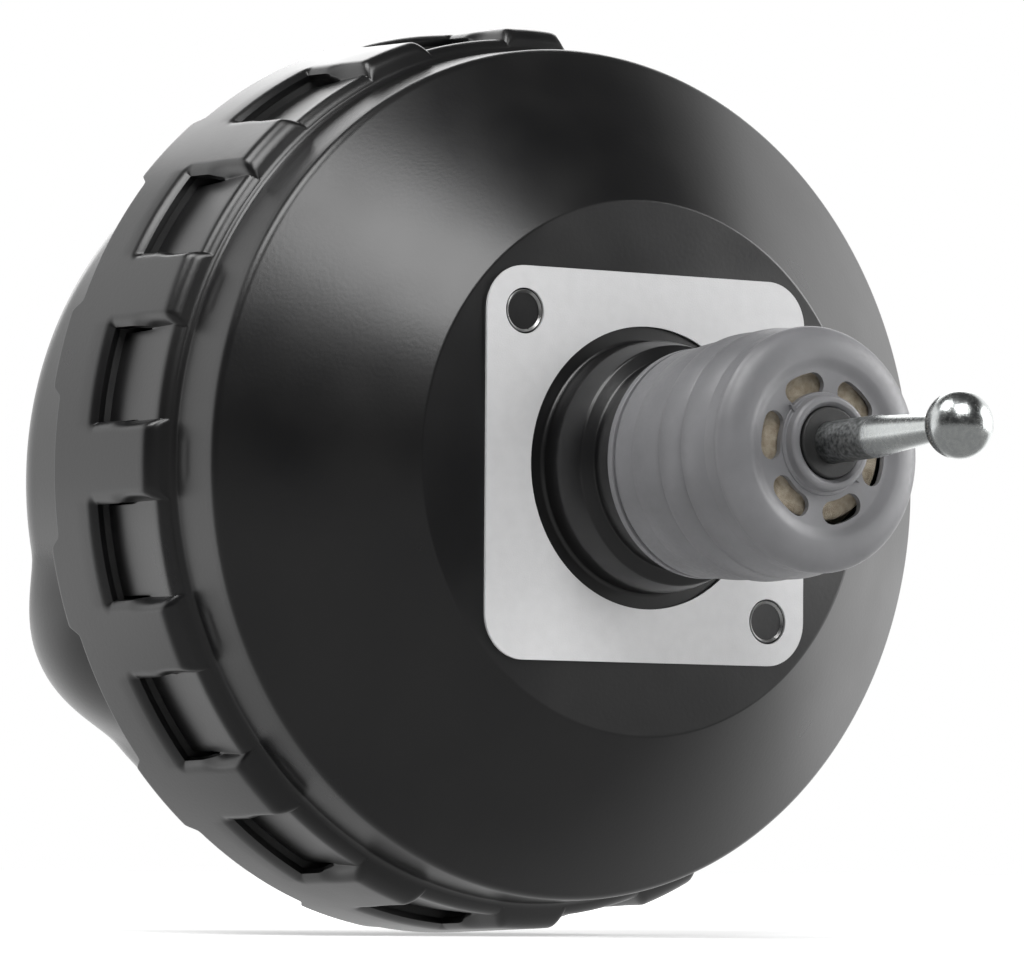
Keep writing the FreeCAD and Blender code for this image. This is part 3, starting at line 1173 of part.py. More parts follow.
PARTS = {
    "firewall_gasket": firewall_gasket,
    "rear_shell": rear_shell,
    "front_shell": front_shell,
    "tie_bolt_upper": lambda: tie_bolt(*BOLT_PLACES[0]),
    "tie_bolt_lower": lambda: tie_bolt(*BOLT_PLACES[1]),
    "bolt_end_seals": bolt_end_seals,
    "divider": divider,
    "divider_seal": divider_seal,
    "divider_bolt_seals": divider_bolt_seals,
    "rear_diaphragm": rear_diaphragm,
    "front_diaphragm": front_diaphragm,
    "neck_bearing": neck_bearing,
    "neck_seal": neck_seal,
    "master_cylinder_seal": master_cylinder_seal,
    "vacuum_grommet": vacuum_grommet,
    "check_valve_body": check_valve_body,
    "hose_nipple": hose_nipple,
    "check_disc": check_disc,
    "check_spring": check_spring,
    "boot": boot,
    "return_spring": return_spring,
    "valve_body": valve_body,
    "rear_plate": lambda: support_plate(REAR_PLATE_Y),
    "front_plate": lambda: support_plate(FRONT_PLATE_Y),
    "rear_lock_ring": rear_lock_ring,
    "front_lock_ring": front_lock_ring,
    "sliding_bolt_seals": sliding_bolt_seals,
    "reaction_disc": reaction_disc,
    "output_rod": output_rod,
    "output_tip": output_tip,
    "output_rod_retainer": output_rod_retainer,
    "stop_key": stop_key,
    "poppet_valve": poppet_valve,
    "poppet_retainer": poppet_retainer,
    "poppet_spring": poppet_spring,
    "rod_return_spring": rod_return_spring,
    "air_filter": air_filter,
    "silencer_foam": silencer_foam,
    "air_valve_plunger": plunger,
    "input_rod": input_rod,
    "rod_spring_seat": rod_spring_seat,
    "rod_ring": rod_ring,
}

os.makedirs("parts", exist_ok=True)
for name, make in PARTS.items():
    shape = make()
    shape.exportStep(os.path.join("parts", name + ".step"))
    solids = len(shape.Solids)
    box = shape.BoundBox
    print(f"{name}: {solids} solid, {shape.Volume / 1000:.1f} cm3, valid {shape.isValid()}, "
          f"y {box.YMin:.1f} to {box.YMax:.1f}")
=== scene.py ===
"""Looks of a tandem vacuum brake booster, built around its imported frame."""
import math

import bmesh
import bpy
from mathutils import Matrix, Vector


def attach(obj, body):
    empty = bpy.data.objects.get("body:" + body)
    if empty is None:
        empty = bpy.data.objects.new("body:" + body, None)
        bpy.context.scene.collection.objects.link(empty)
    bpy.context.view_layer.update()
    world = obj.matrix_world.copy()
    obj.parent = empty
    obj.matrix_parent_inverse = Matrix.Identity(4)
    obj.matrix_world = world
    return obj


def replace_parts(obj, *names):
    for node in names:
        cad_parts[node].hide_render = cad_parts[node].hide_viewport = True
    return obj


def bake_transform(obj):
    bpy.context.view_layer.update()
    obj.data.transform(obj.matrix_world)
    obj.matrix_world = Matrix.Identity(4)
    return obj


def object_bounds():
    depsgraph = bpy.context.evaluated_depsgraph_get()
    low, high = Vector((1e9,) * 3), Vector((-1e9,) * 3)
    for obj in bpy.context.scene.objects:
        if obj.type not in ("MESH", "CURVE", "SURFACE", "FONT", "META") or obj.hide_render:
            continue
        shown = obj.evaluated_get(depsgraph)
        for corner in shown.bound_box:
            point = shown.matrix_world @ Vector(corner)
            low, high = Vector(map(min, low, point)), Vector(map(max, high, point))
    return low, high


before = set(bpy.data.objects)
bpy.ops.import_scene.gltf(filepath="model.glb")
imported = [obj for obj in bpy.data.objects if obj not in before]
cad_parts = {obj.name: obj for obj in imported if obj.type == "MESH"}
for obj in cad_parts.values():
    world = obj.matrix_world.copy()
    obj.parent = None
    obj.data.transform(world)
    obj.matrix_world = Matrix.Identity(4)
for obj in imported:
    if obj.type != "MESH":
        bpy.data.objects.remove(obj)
cad_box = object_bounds()

# Lengths below are millimetres and angles degrees. An angle round the axis starts at +X and grows towards +Z.
# A height is a place along the Y axis, which runs from the pedal towards the engine.
MM = 0.001

# Camera, fitted to the square gasket, the drum's circles and the rod
CAMERA_PLACE = (-995.66, -1391.66, -103.44)
CAMERA_YAW = -34.371
CAMERA_PITCH = -3.322
CAMERA_ROLL = 0.390
CAMERA_LENS = 225.92
SENSOR_WIDTH = 36.0
CAMERA_REACH = 20.0

# Lamps by name: place in metres, power in watts, width and height in metres
LAMPS = {
    "key_panel": ((-0.45, -1.05, 1.30), 20.0, 1.0, 0.9),
    "side_panel": ((0.95, -0.45, 0.25), 8.0, 0.7, 0.7),
    "left_panel": ((-0.65, 0.1, 1.05), 8.0, 0.6, 0.6),
    "back_panel": ((0.6, 1.3, 0.75), 6.5, 1.3, 0.8),
}

# Room as the object sees it: strengths, and the stretches over which they change, in metres on the floor
SIDE_SHARE = 0.45
WALL_STRENGTH = (0.03, 1.25)
WALL_STRETCH = (-0.12, 0.22)
CEILING_STRENGTH = (1.0, 0.04)
CEILING_STRETCH = (0.54, 0.66)
MIRRORED_FLOOR_STRENGTH = (0.36, 1.55)
MIRRORED_FLOOR_STRETCH = (0.0, 0.2)
FLOOR_GLOW_STRENGTH = (0.45, 1.0)
FLOOR_GLOW_STRETCH = (0.3, 0.8)
FLOOR_WHITE = 0.8
FLOOR_REACH = 5.0
FLOOR_GAP = 0.0002

# Rear shell, outer surface
SHEET = 1.6
NECK_R = 28.4
NECK_STEP_R = 31.9
NECK_BULGE_R = 33.6
NECK_BASE_R = 33.3
NECK_MOUTH_Y = -28.5
NECK_STEP_Y = -14.2
NECK_STEP_RISE = 1.4
NECK_STEP_BEND = 0.6
NECK_TOP_BEND = 1.0
NECK_BULGE_BEND = 8.0
NECK_FOOT_BEND = 1.2
DISC_Y = 0.8
DISC_R = 71.75
DISC_BEND = 1.5
CONE_R = 115.4
CONE_Y = 33.6
CONE_BEND = 4.0
RING_R = 116.3
RING_Y = 51.6
RING_BEND = 2.5
STEP_R = 123.3
STEP_Y = 53.6
STEP_BEND = 5.0
SKIRT_R = 125.0
SKIRT_Y = 99.0
TAB_Y = 102.8
TAB_COUNT = 12
TAB_FIRST = 15.0
TAB_HALF_ANGLE = 5.6
TAB_FLANK = 0.8

# Dimples in the ring, lanced pockets and the pressed relief
DIMPLES = 16
DIMPLE_Y = 46.3
DIMPLE_LENGTH = 14.0
DIMPLE_WIDTH = 3.6
DIMPLE_DEPTH = 0.12
DIMPLE_ROWS_REACH = 2.4
POCKETS = 16
POCKET_FIRST = 11.25
TONGUE_HALF_ANGLE = 5.92
WINDOW_HALF_ANGLE = 6.12
LIP_HALF_ANGLE = 7.6
LIP_DEPTH = 1.5
LIP_WIDTH = 3.6
TONGUE_TOP_R = 120.4
TONGUE_TOP_Y = 52.3
TONGUE_END_R = 119.0
TONGUE_END_Y = 82.5
TONGUE_BEND = 4.0
WINDOW_Y = 80.6
FLANGE_END_Y = 79.9
EDGE_ROUNDING = 0.25
RELIEF_R = 118.3
RELIEF_TOP_Y = 52.2
RELIEF_BEND = 1.5
RELIEF_FROM = 62.7
RELIEF_TO = 85.5
RELIEF_RAMP_Y = (71.2, 78.6)
RELIEF_BLEND = 1.4

# Rows in the flange's straight wall, and the shares of it at which a tongue's sides and a lip come free
STRAIGHT_ROWS = 18
TORN_SHARE = 0.32
LIP_SHARES = (0.27, 0.67)

# Rows past the windows: rises above their far end, then shares of the way from there to the free edge
LIP_RISES = (0.0, 0.3, 0.7, 1.2, 1.8, 2.6, LIP_WIDTH, 9.0)
EDGE_SHARES = (0.35, 0.65, 0.85, 0.95, 1.0)

# Front shell
RIM_R = 122.3
RIM_Y = 83.1
RIM_BEND = 3.0
SHOULDER_R = 108.0
SHOULDER_Y = 101.5
SHOULDER_RISE = 5.0
SHOULDER_BEND = 5.0
WALL_R = 105.0
FRONT_Y = 157.5
WALL_CORNER_R = 14.0
DOME_R = 30.5
DOME_REACH = 82.35
DOME_Y = 140.0
DOME_ANGLE = 207.56
DOME_BLEND = 9.0
DOME_EDGE_BLEND = 0.1
DOME_FACE_BLEND = 3.0
DOME_BLEND_REACH = 10.0
DOME_EYE = (70.0, 128.0)
FACE_R = 80.0
FRONT_COLUMNS = 288

# Front face
HUB_HOLE_R = 22.0
SEAT_RISE = 1.2
SEAT_ROUNDING = 0.5
SEAT_HALF_WIDTH = 34.0
SEAT_END_R = 20.0
GROMMET_HOLE_R = 12.0
VALVE_X = 46.0

# Tie bolts
BOLT_PLACES = ((-40.0, 40.0), (40.0, -40.0))
BOLT_SPIGOT_R = 6.0
BOLT_END_Y = 0.2
BOLT_NECK_Y = 2.0
BOLT_COLUMNS = 48
TAP_R = 4.33
TAP_RIM = 0.55
TAP_CHAMFER = 0.55
TAP_EDGE = 0.15
TAP_RELIEF_DEPTH = 2.0
TAP_DEPTH = 14.0
STUD_R = 4.0
STUD_NECK_R = 3.1
STUD_NECK_LENGTH = 1.5
STUD_END_R = 3.02
STUD_END_Y = 186.2
STUD_CHAMFER = 0.7
THREAD_PITCH = 1.25
THREAD_DEPTH = 0.68
TAP_ROWS = 90
STUD_ROWS = 170

# Rod: the ball it swings about, how far it leans, and where its polish starts
PIVOT_Y = -2.0
ROD_TILT = 2.02
ROD_POLISH_Y = -99.5
ROD_POLISH_BLEND = 0.3

# Boot. A fold is its valley and its crest, each a radius and a height
BOOT_TILT = 2.0
BOOT_TILT_Y = -36.2
BOOT_TILT_REACH = 2.0
BOOT_FACE_Y = -78.3
BOOT_FACE_INNER_R = 25.5
BOOT_WALL = 1.6
BOOT_COLUMNS = 160
FOLD_GROOVE = 0.5
FOLD_DROP = 0.7
CREST_CORNER = ((0.35, 0.15), (0.08, 0.02))
CREST_DROP = 0.25
SHOULDER_START = (31.95, -74.1)
SHOULDER_END = (24.4, -78.3)
SHOULDER_INNER = (29.2, -74.6)
RECESS_EDGE_R = 24.0
BOOT_BULGE = 0.45
SLEEVE_R = 30.5
SLEEVE_END_Y = -36.0
SLEEVE_GAP = 0.05
SLEEVE_BACK_Y = -28.55
SLEEVE_LIP = ((30.1, -24.2), (30.4, -24.5), (30.4, -26.1), (30.2, -26.3), (29.5, -26.4), (29.5, -28.1),
              (30.2, -28.15), (SLEEVE_R, -28.3))
FIRST_FOLD = (31.0, -36.3)
BOOT_FOLDS = ((31.1, -48.6, 32.5, -50.0), (31.3, -58.6, 32.6, -60.0))
SPLIT_R = 31.3
SPLIT_Y = -68.5
LAST_FOLD_START = (31.1, -70.4)
LAST_FOLD = (30.9, -72.5, 32.0, -73.8)
LAST_FOLD_DROP = 0.6
LAST_CREST_CORNER = ((0.4, 0.1), (0.1, 0.0))
FACE_HOLE_R = 11.4
RECESS_R = 20.2
RECESS_DEPTH = 0.9
COLLAR_INNER_R = 9.5
COLLAR_R = 12.4
COLLAR_NEAR_Y = -81.2
COLLAR_FAR_Y = -76.0
COLLAR_BAND_R = 13.4
COLLAR_BAND_RISE = 0.35
COLLAR_ROUNDING = 1.1
COLLAR_MOUTH = 1.9
COLLAR_MOUTH_DEPTH = 1.0
COLLAR_LOW_ROUNDING = 0.3
COLLAR_MOUTH_ROUNDING = 0.5
COLLAR_COLUMNS = 120
FELT_INNER_R = 5.8
FELT_R = 19.7
FELT_FAR_Y = -74.1
FELT_NEAR_Y = -74.9
FELT_FAR_ROUNDING = 0.4
FELT_NEAR_ROUNDING = 0.6
VENTS = 6
VENT_FIRST = 50.0
VENT_PITCH_R = 16.7
VENT_WIDTH = 6.1
VENT_HALF_ANGLE = 11.5
VENT_CUT_Y = (-74.6, -80.0)
VENT_ROUNDING = 0.22
NUB_ANGLES = (138.7, -41.2)
NUB_RISE = 1.1
NUB_Y = (-77.1, -78.5)
NUB_HALF_ANGLES = (0.4, 3.6)
NUB_SINK = 0.4


def polar(radius, y, degrees):
    """A place at an angle round the axis, in metres."""
    turn = math.radians(degrees)
    return Vector((radius * math.cos(turn), y, radius * math.sin(turn))) * MM


def smooth(value, low=0.0, high=1.0):
    """Eased step from 0 at low to 1 at high."""
    share = min(max((value - low) / (high - low), 0.0), 1.0)
    return share * share * (3 - 2 * share)


def between(low, high, steps):
    """Evenly spaced values from low to high, both included."""
    return [low + (high - low) * i / steps for i in range(steps + 1)]


def rounded(corners, steps=6):
    """Points along corners, each (r, y) or (r, y, fillet radius), with every fillet as an arc."""
    points = [Vector(corners[0][:2])]
    for before, here, after in zip(corners, corners[1:], corners[2:]):
        place = Vector(here[:2])
        if len(here) < 3:
            points.append(place)
            continue
        way_in = (place - Vector(before[:2])).normalized()
        way_out = (Vector(after[:2]) - place).normalized()
        turn = way_in.angle(way_out)
        inward = (way_out - way_in).normalized()
        centre = place + inward * (here[2] / math.cos(turn / 2))
        arm = place - way_in * (here[2] * math.tan(turn / 2)) - centre
        side = 1 if way_in.x * way_out.y - way_in.y * way_out.x > 0 else -1
        for i in range(steps + 1):
            points.append(centre + Matrix.Rotation(side * turn * i / steps, 2) @ arm)
    points.append(Vector(corners[-1][:2]))
    return points


def shifted(corners, side):
    """The same corners moved by side to the left of their direction of travel."""
    places = [Vector(c[:2]) for c in corners]
    ways = [(b - a).normalized() for a, b in zip(places, places[1:])]
    moved = []
    for i, corner in enumerate(corners):
        before = ways[max(i - 1, 0)]
        after = ways[min(i, len(ways) - 1)]
        left = Vector((-before.y - after.y, before.x + after.x)) / (1 + before.dot(after))
        place = places[i] + left * side
        if len(corner) == 3:
            turns_left = before.x * after.y - before.y * after.x > 0
            radius = corner[2] - side if turns_left else corner[2] + side
            moved.append((place.x, place.y, max(radius, 0.2)))
        else:
            moved.append((place.x, place.y))
    return moved


def face_out(mesh):
    """Joins what coincides and turns every face outwards."""
    work = bmesh.new()
    work.from_mesh(mesh)
    bmesh.ops.remove_doubles(work, verts=work.verts, dist=1e-7)
    bmesh.ops.recalc_face_normals(work, faces=work.faces)
    work.to_mesh(mesh)
    work.free()


def piece(name, places, faces, body, slot, sharp=35.0):
    """A mesh piece that rides on a body and takes its finish from a slot."""
    mesh = bpy.data.meshes.new(name)
    mesh.from_pydata([tuple(p) for p in places], [], faces)
    mesh.validate()
    face_out(mesh)
    mesh.shade_smooth()
    mesh.set_sharp_from_angle(angle=math.radians(sharp))
    item = bpy.data.objects.new(name, mesh)
    bpy.context.scene.collection.objects.link(item)
    item.data.materials.append(FINISHES[slot])
    if body:
        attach(item, body)
    return item


def apply_modifiers(item):
    """Keeps what the modifiers of a piece make as its own mesh."""
    graph = bpy.context.evaluated_depsgraph_get()
    mesh = bpy.data.meshes.new_from_object(item.evaluated_get(graph))
    item.modifiers.clear()
    item.data = mesh
    mesh.shade_smooth()
    mesh.set_sharp_from_angle(angle=math.radians(40))


def arc(x, z, radius, start, stop, steps):
    """Places on an arc in the plane of X and Z, from one turn to another in radians."""
    return [(x + radius * math.cos(t), z + radius * math.sin(t)) for t in between(start, stop, steps)]


def ring_line(radius, x=0.0, z=0.0):
    """A circle of places in the plane of X and Z."""
    return arc(x, z, radius, 0.0, 2 * math.pi, 96)[:-1]


def oval_line():
    """Outline of the raised seat round the hub and both bolts: a barrel with round ends."""
    reach = math.hypot(*BOLT_PLACES[0])
    lean = math.acos((SEAT_HALF_WIDTH - SEAT_END_R) / reach)
    first = math.atan2(BOLT_PLACES[0][1], BOLT_PLACES[0][0])
    places = []
    for middle in (first, first + math.pi):
        x = reach * math.cos(middle)
        z = reach * math.sin(middle)
        places += arc(x, z, SEAT_END_R, middle - lean, middle + lean, 24)
        places += arc(0.0, 0.0, SEAT_HALF_WIDTH, middle + lean, middle + math.pi - lean, 24)[1:-1]
    return places


def plate(name, lines, y, thick, rounding):
    """A flat painted plate across Y, filled between its outline and the holes in it."""
    curve = bpy.data.curves.new(name, "CURVE")
    curve.dimensions = "2D"
    curve.fill_mode = "BOTH"
    curve.extrude = (thick / 2 - rounding) * MM
    curve.bevel_depth = rounding * MM
    curve.bevel_resolution = 2
    curve.offset = -rounding * MM
    for line in lines:
        spline = curve.splines.new("POLY")
        spline.points.add(len(line) - 1)
        for point, (x, z) in zip(spline.points, line):
            point.co = (x * MM, z * MM, 0, 1)
        spline.use_cyclic_u = True
    shaper = bpy.data.objects.new(name + "_line", curve)
    bpy.context.scene.collection.objects.link(shaper)
    graph = bpy.context.evaluated_depsgraph_get()
    mesh = bpy.data.meshes.new_from_object(shaper.evaluated_get(graph))
    bpy.data.objects.remove(shaper)
    mesh.transform(Matrix(((1, 0, 0, 0), (0, 0, -1, y * MM), (0, 1, 0, 0), (0, 0, 0, 1))))
    mesh.materials.clear()
    mesh.materials.append(FINISHES["shell_paint"])
    mesh.shade_smooth()
    mesh.set_sharp_from_angle(angle=math.radians(30))
    item = bpy.data.objects.new(name, mesh)
    bpy.context.scene.collection.objects.link(item)
    return item


def soften(item, width):
    """Rounds the sharp edges of a piece and keeps the result in its mesh."""
    bevel = item.modifiers.new("bevel", "BEVEL")
    bevel.width = width * MM
    bevel.segments = 2
    bevel.limit_method = "ANGLE"
    bevel.angle_limit = math.radians(55)
    bevel.use_clamp_overlap = True
    apply_modifiers(item)


def grid_faces(rows, columns, closed=False):
    """Faces of a grid of places that goes once round, row by row."""
    faces = []
    for row in range(rows if closed else rows - 1):
        low = row * columns
        high = (row + 1) % rows * columns
        for i in range(columns):
            ahead = (i + 1) % columns
            faces.append((low + i, high + i, high + ahead, low + ahead))
    return faces


def lathe(profile, columns):
    """Places and faces of a closed profile of (r, y) points turned about the Y axis."""
    places = [polar(radius, y, 360 * i / columns) for radius, y in profile for i in range(columns)]
    return places, grid_faces(len(profile), columns, closed=True)


# Materials

def finish(slot, **settings):
    """A material with its shader's plain values set on the shader's own sockets."""
    material = bpy.data.materials.new(slot)
    material.use_nodes = True
    shader = material.node_tree.nodes["Principled BSDF"]
    for name, value in settings.items():
        shader.inputs[name.replace("_", " ")].default_value = value
    return material


def wire(material, kind, sources=(), **settings):
    """A new node, with its sockets fed by the named sources."""
    tree = material.node_tree
    node = tree.nodes.new(kind)
    for name, value in settings.items():
        setattr(node, name, value)
    for socket, source in dict(sources).items():
        if hasattr(source, "is_output"):
            tree.links.new(source, node.inputs[socket])
        else:
            node.inputs[socket].default_value = source
    return node


def grain(material, scale, detail=3.0):
    """Noise that sticks to the piece, with so many bumps to the metre."""
    place = wire(material, "ShaderNodeTexCoord").outputs["Object"]
    noise = wire(material, "ShaderNodeTexNoise", {"Vector": place, "Scale": scale, "Detail": detail})
    return noise.outputs["Fac"]


def spread(material, source, low, high, start=0.3, stop=0.7):
    """Maps a source between start and stop to values between low and high."""
    sources = {"Value": source, "From Min": start, "From Max": stop, "To Min": low, "To Max": high}
    return wire(material, "ShaderNodeMapRange", sources).outputs["Result"]


def tint(material, share, dark, light):
    """A colour between two by a share."""
    mix = wire(material, "ShaderNodeMix", {0: share, 6: (*dark, 1), 7: (*light, 1)}, data_type="RGBA")
    return mix.outputs[2]


def level(material, share, low, high):
    """A number between two by a share."""
    return wire(material, "ShaderNodeMix", {0: share, 2: low, 3: high}).outputs[0]


def combined(material, operation, first, second):
    """The sum or the product of two numbers."""
    return wire(material, "ShaderNodeMath", {0: first, 1: second}, operation=operation).outputs[0]


def feed(material, socket, source):
    """Leads a source into a socket of the material's shader."""
    shader = material.node_tree.nodes["Principled BSDF"]
    material.node_tree.links.new(source, shader.inputs[socket])


def relief(material, height, strength, distance):
    """Bump from a height, in metres of distance."""
    bump = wire(material, "ShaderNodeBump", {"Height": height, "Strength": strength, "Distance": distance})
    feed(material, "Normal", bump.outputs["Normal"])


def satin_paint():
    """Black paint of the shells, with a cloudy sheen."""
    material = finish("shell_paint", Specular_IOR_Level=0.6)
    cloud = grain(material, 28)
    fine = grain(material, 900, 2)
    feed(material, "Base Color", tint(material, spread(material, cloud, 0, 1),
                                      (0.0045, 0.0045, 0.005), (0.008, 0.0078, 0.0078)))
    feed(material, "Roughness", spread(material, cloud, 0.27, 0.34))
    relief(material, fine, 0.10, 0.0002)
    return material


def matte(slot, dark, light, roughness, scale, bump, depth=0.0002, **more):
    """A dull material whose colour and surface vary with one grain."""
    material = finish(slot, **more)
    cloud = grain(material, scale)
    fine = grain(material, scale * 9, 4)
    feed(material, "Base Color", tint(material, spread(material, cloud, 0, 1), dark, light))
    feed(material, "Roughness", spread(material, fine, roughness - 0.06, roughness + 0.06))
    relief(material, fine, bump, depth)
    return material


def steel(slot, dark, light, roughness, scale, bump):
    """Bare or plated metal with a mottled polish."""
    material = finish(slot, Metallic=1.0)
    cloud = grain(material, scale, 4)
    fine = grain(material, scale * 6)
    feed(material, "Base Color", tint(material, spread(material, cloud, 0, 1), dark, light))
    feed(material, "Roughness", spread(material, cloud, roughness + 0.08, roughness - 0.08))
    relief(material, fine, bump, 0.0002)
    return material


def rod_metal():
    """Zinc plate that is dull and mottled at the shank and polished from there to the ball."""
    material = finish("rod_steel", Metallic=1.0)
    place = wire(material, "ShaderNodeTexCoord").outputs["Object"]
    ahead = wire(material, "ShaderNodeSeparateXYZ", {"Vector": place}).outputs["Y"]
    start = (ROD_POLISH_Y - ROD_POLISH_BLEND) * MM
    stop = (ROD_POLISH_Y + ROD_POLISH_BLEND) * MM
    polished = spread(material, ahead, 1.0, 0.0, start, stop)
    mottle = spread(material, grain(material, 900, 4), 0, 1, 0.35, 0.65)
    shank = tint(material, mottle, (0.16, 0.17, 0.17), (0.36, 0.37, 0.37))
    bright = tint(material, mottle, (0.50, 0.52, 0.52), (0.60, 0.62, 0.61))
    colour = wire(material, "ShaderNodeMix", {0: polished, 6: shank, 7: bright}, data_type="RGBA")
    feed(material, "Base Color", colour.outputs[2])
    dull = spread(material, mottle, 0.42, 0.56, 0, 1)
    smooth_part = spread(material, mottle, 0.22, 0.28, 0, 1)
    feed(material, "Roughness", level(material, polished, dull, smooth_part))
    relief(material, grain(material, 1500), 0.12, 0.0002)
    return material


def make_finishes():
    """Every slot's material, from two colours, a roughness, a grain and a depth of relief."""
    dull = {
        "gasket_fibre": ((0.60, 0.60, 0.605), (0.63, 0.63, 0.635), 0.75, 260, 0.2),
        "black_rubber": ((0.012, 0.012, 0.012), (0.022, 0.022, 0.022), 0.5, 120, 0.15),
        "diaphragm_rubber": ((0.02, 0.02, 0.02), (0.035, 0.035, 0.035), 0.6, 90, 0.3),
        "valve_plastic": ((0.02, 0.02, 0.022), (0.03, 0.03, 0.032), 0.4, 80, 0.08),
        "nylon": ((0.62, 0.60, 0.54), (0.70, 0.68, 0.62), 0.45, 80, 0.08),
        "port_plastic": ((0.02, 0.02, 0.022), (0.03, 0.03, 0.032), 0.35, 80, 0.08),
        "filter_felt": ((0.30, 0.25, 0.18), (0.48, 0.42, 0.33), 0.95, 500, 0.9, 0.0006),
        "filter_foam": ((0.05, 0.05, 0.05), (0.10, 0.10, 0.10), 0.95, 700, 1.0, 0.0006),
    }
    metal = {
        "zinc_steel": ((0.42, 0.42, 0.42), (0.62, 0.62, 0.61), 0.32, 400, 0.15),
        "spring_steel": ((0.30, 0.30, 0.30), (0.45, 0.45, 0.45), 0.35, 300, 0.1),
        "plate_steel": ((0.45, 0.45, 0.44), (0.58, 0.58, 0.57), 0.4, 120, 0.1),
    }
    finishes = {"shell_paint": satin_paint(), "rod_steel": rod_metal()}
    finishes["boot_rubber"] = matte("boot_rubber", (0.15, 0.15, 0.157), (0.175, 0.175, 0.183), 0.44, 90, 0.06,
                                    Specular_IOR_Level=0.7)
    finishes.update({slot: matte(slot, *values) for slot, values in dull.items()})
    finishes.update({slot: steel(slot, *values) for slot, values in metal.items()})
    return finishes


# Rear shell

def off_pocket(angle):
    """How far an angle is from the middle of the nearest pocket, all round but where the relief is."""
    every = [POCKET_FIRST + i * 360 / POCKETS for i in range(POCKETS)]
    return min(abs((angle - a + 180) % 360 - 180) for a in every if not RELIEF_FROM < a < RELIEF_TO)


def off_middle(angle, first, count):
    """How far an angle is from the nearest of so many evenly spaced ones, with its sign."""
    pitch = 360 / count
    return (angle - first + pitch / 2) % pitch - pitch / 2


def shell_columns():
    """Angles of the shell's columns, close together at the pockets' edges and the tabs."""
    half = [0.0, 1.6, 3.2, 4.6, 5.5, 5.8, TONGUE_HALF_ANGLE, WINDOW_HALF_ANGLE, 6.2, 6.32, 6.5, 6.7, 6.95,
            7.25, LIP_HALF_ANGLE, 8.0, 8.6, 9.2, 9.9, 10.6]
    found = []
    for i in range(POCKETS):
        middle = POCKET_FIRST + i * 360 / POCKETS
        found += [middle + a for a in half] + [middle - a for a in half[1:]]
        found.append(middle + 180 / POCKETS)
    fixed = sorted(a % 360 for a in found)
    for i in range(TAB_COUNT):
        middle = TAB_FIRST + i * 360 / TAB_COUNT
        for a in between(TAB_HALF_ANGLE - 2 * TAB_FLANK, TAB_HALF_ANGLE + 2 * TAB_FLANK, 6):
            for angle in ((middle + a) % 360, (middle - a) % 360):
                if min(abs(angle - b) for b in fixed) > 0.12:
                    fixed.append(angle)
    return sorted(fixed)


def flange_rows(corner, end, inset, radius):
    """Step wall, rounded corner and wall of the flange, as rows of (r, y)."""
    points = rounded(shifted([(RING_R, RING_Y), (*corner, radius), end], inset), 8)
    return points[1:-1] + [points[-2].lerp(points[-1], share) for share in between(0, 1, STRAIGHT_ROWS)[1:]]


def skirt_r(y):
    """Radius of the flared skirt at a height."""
    return STEP_R + (SKIRT_R - STEP_R) * (y - STEP_Y) / (SKIRT_Y - STEP_Y)


def relief_rows(inset):
    """The flange where it is pressed in, with the ramp that runs back up to the skirt."""
    rows = flange_rows((RELIEF_R, RELIEF_TOP_Y), (RELIEF_R, WINDOW_Y), inset, RELIEF_BEND)
    raised = []
    for r, y in rows:
        lift = smooth(y, *RELIEF_RAMP_Y)
        raised.append(Vector((r + lift * (skirt_r(y) - RELIEF_R), y)))
    return raised


def dimple(angle, y):
    """Depth of the nearest long soft dimple at a place of the ring."""
    along = abs(math.radians(off_middle(angle, 0.0, DIMPLES))) * RING_R
    across = (y - DIMPLE_Y) / (DIMPLE_WIDTH / 2)
    inside = 1 - smooth(along, DIMPLE_LENGTH / 4, DIMPLE_LENGTH / 2)
    return DIMPLE_DEPTH * math.exp(-across * across) * inside


def edge_y(angle):
    """Height of the castellated free edge."""
    off = abs(off_middle(angle, TAB_FIRST, TAB_COUNT))
    return TAB_Y - (TAB_Y - SKIRT_Y) * smooth(off, TAB_HALF_ANGLE - TAB_FLANK, TAB_HALF_ANGLE + TAB_FLANK)


def lip_share(off, y):
    """How far the skirt is drawn down at a place beside or beyond a window, from 1 at its edge to 0."""
    beside = max(off - WINDOW_HALF_ANGLE, 0.0) / (LIP_HALF_ANGLE - WINDOW_HALF_ANGLE)
    beyond = max(y - WINDOW_Y, 0.0) / LIP_WIDTH
    away = min(math.hypot(beside, beyond), 1.0)
    return (1 - away) ** 2


def upper_rows(columns, inset):
    """Rows of places from the mouth of the neck to the ring, with the dimples in it."""
    outline = [
        (NECK_R, NECK_MOUTH_Y), (NECK_R, NECK_STEP_Y - NECK_STEP_RISE, NECK_STEP_BEND),
        (NECK_STEP_R, NECK_STEP_Y, NECK_TOP_BEND),
        (NECK_BULGE_R, (NECK_STEP_Y + DISC_Y) / 2, NECK_BULGE_BEND), (NECK_BASE_R, DISC_Y, NECK_FOOT_BEND),
        (DISC_R, DISC_Y, DISC_BEND), (CONE_R, CONE_Y, CONE_BEND), (RING_R, RING_Y, RING_BEND),
        (STEP_R, STEP_Y),
    ]
    points = rounded(shifted(outline, inset))
    # The ring's far bend has seven points, which come after the rows with dimples in them
    places = [[polar(r, y, a) for a in columns] for r, y in points[:-8]]
    ring = between(CONE_Y + CONE_BEND, DIMPLE_Y - DIMPLE_WIDTH, 4)
    ring += between(DIMPLE_Y - DIMPLE_ROWS_REACH, DIMPLE_Y + DIMPLE_ROWS_REACH, 10)
    for y in ring:
        base = CONE_R + (RING_R - CONE_R) * (y - CONE_Y) / (RING_Y - CONE_Y) - inset
        places.append([polar(base - dimple(a, y), y, a) for a in columns])
    return places + [[polar(r, y, a) for a in columns] for r, y in points[-8:-1]]


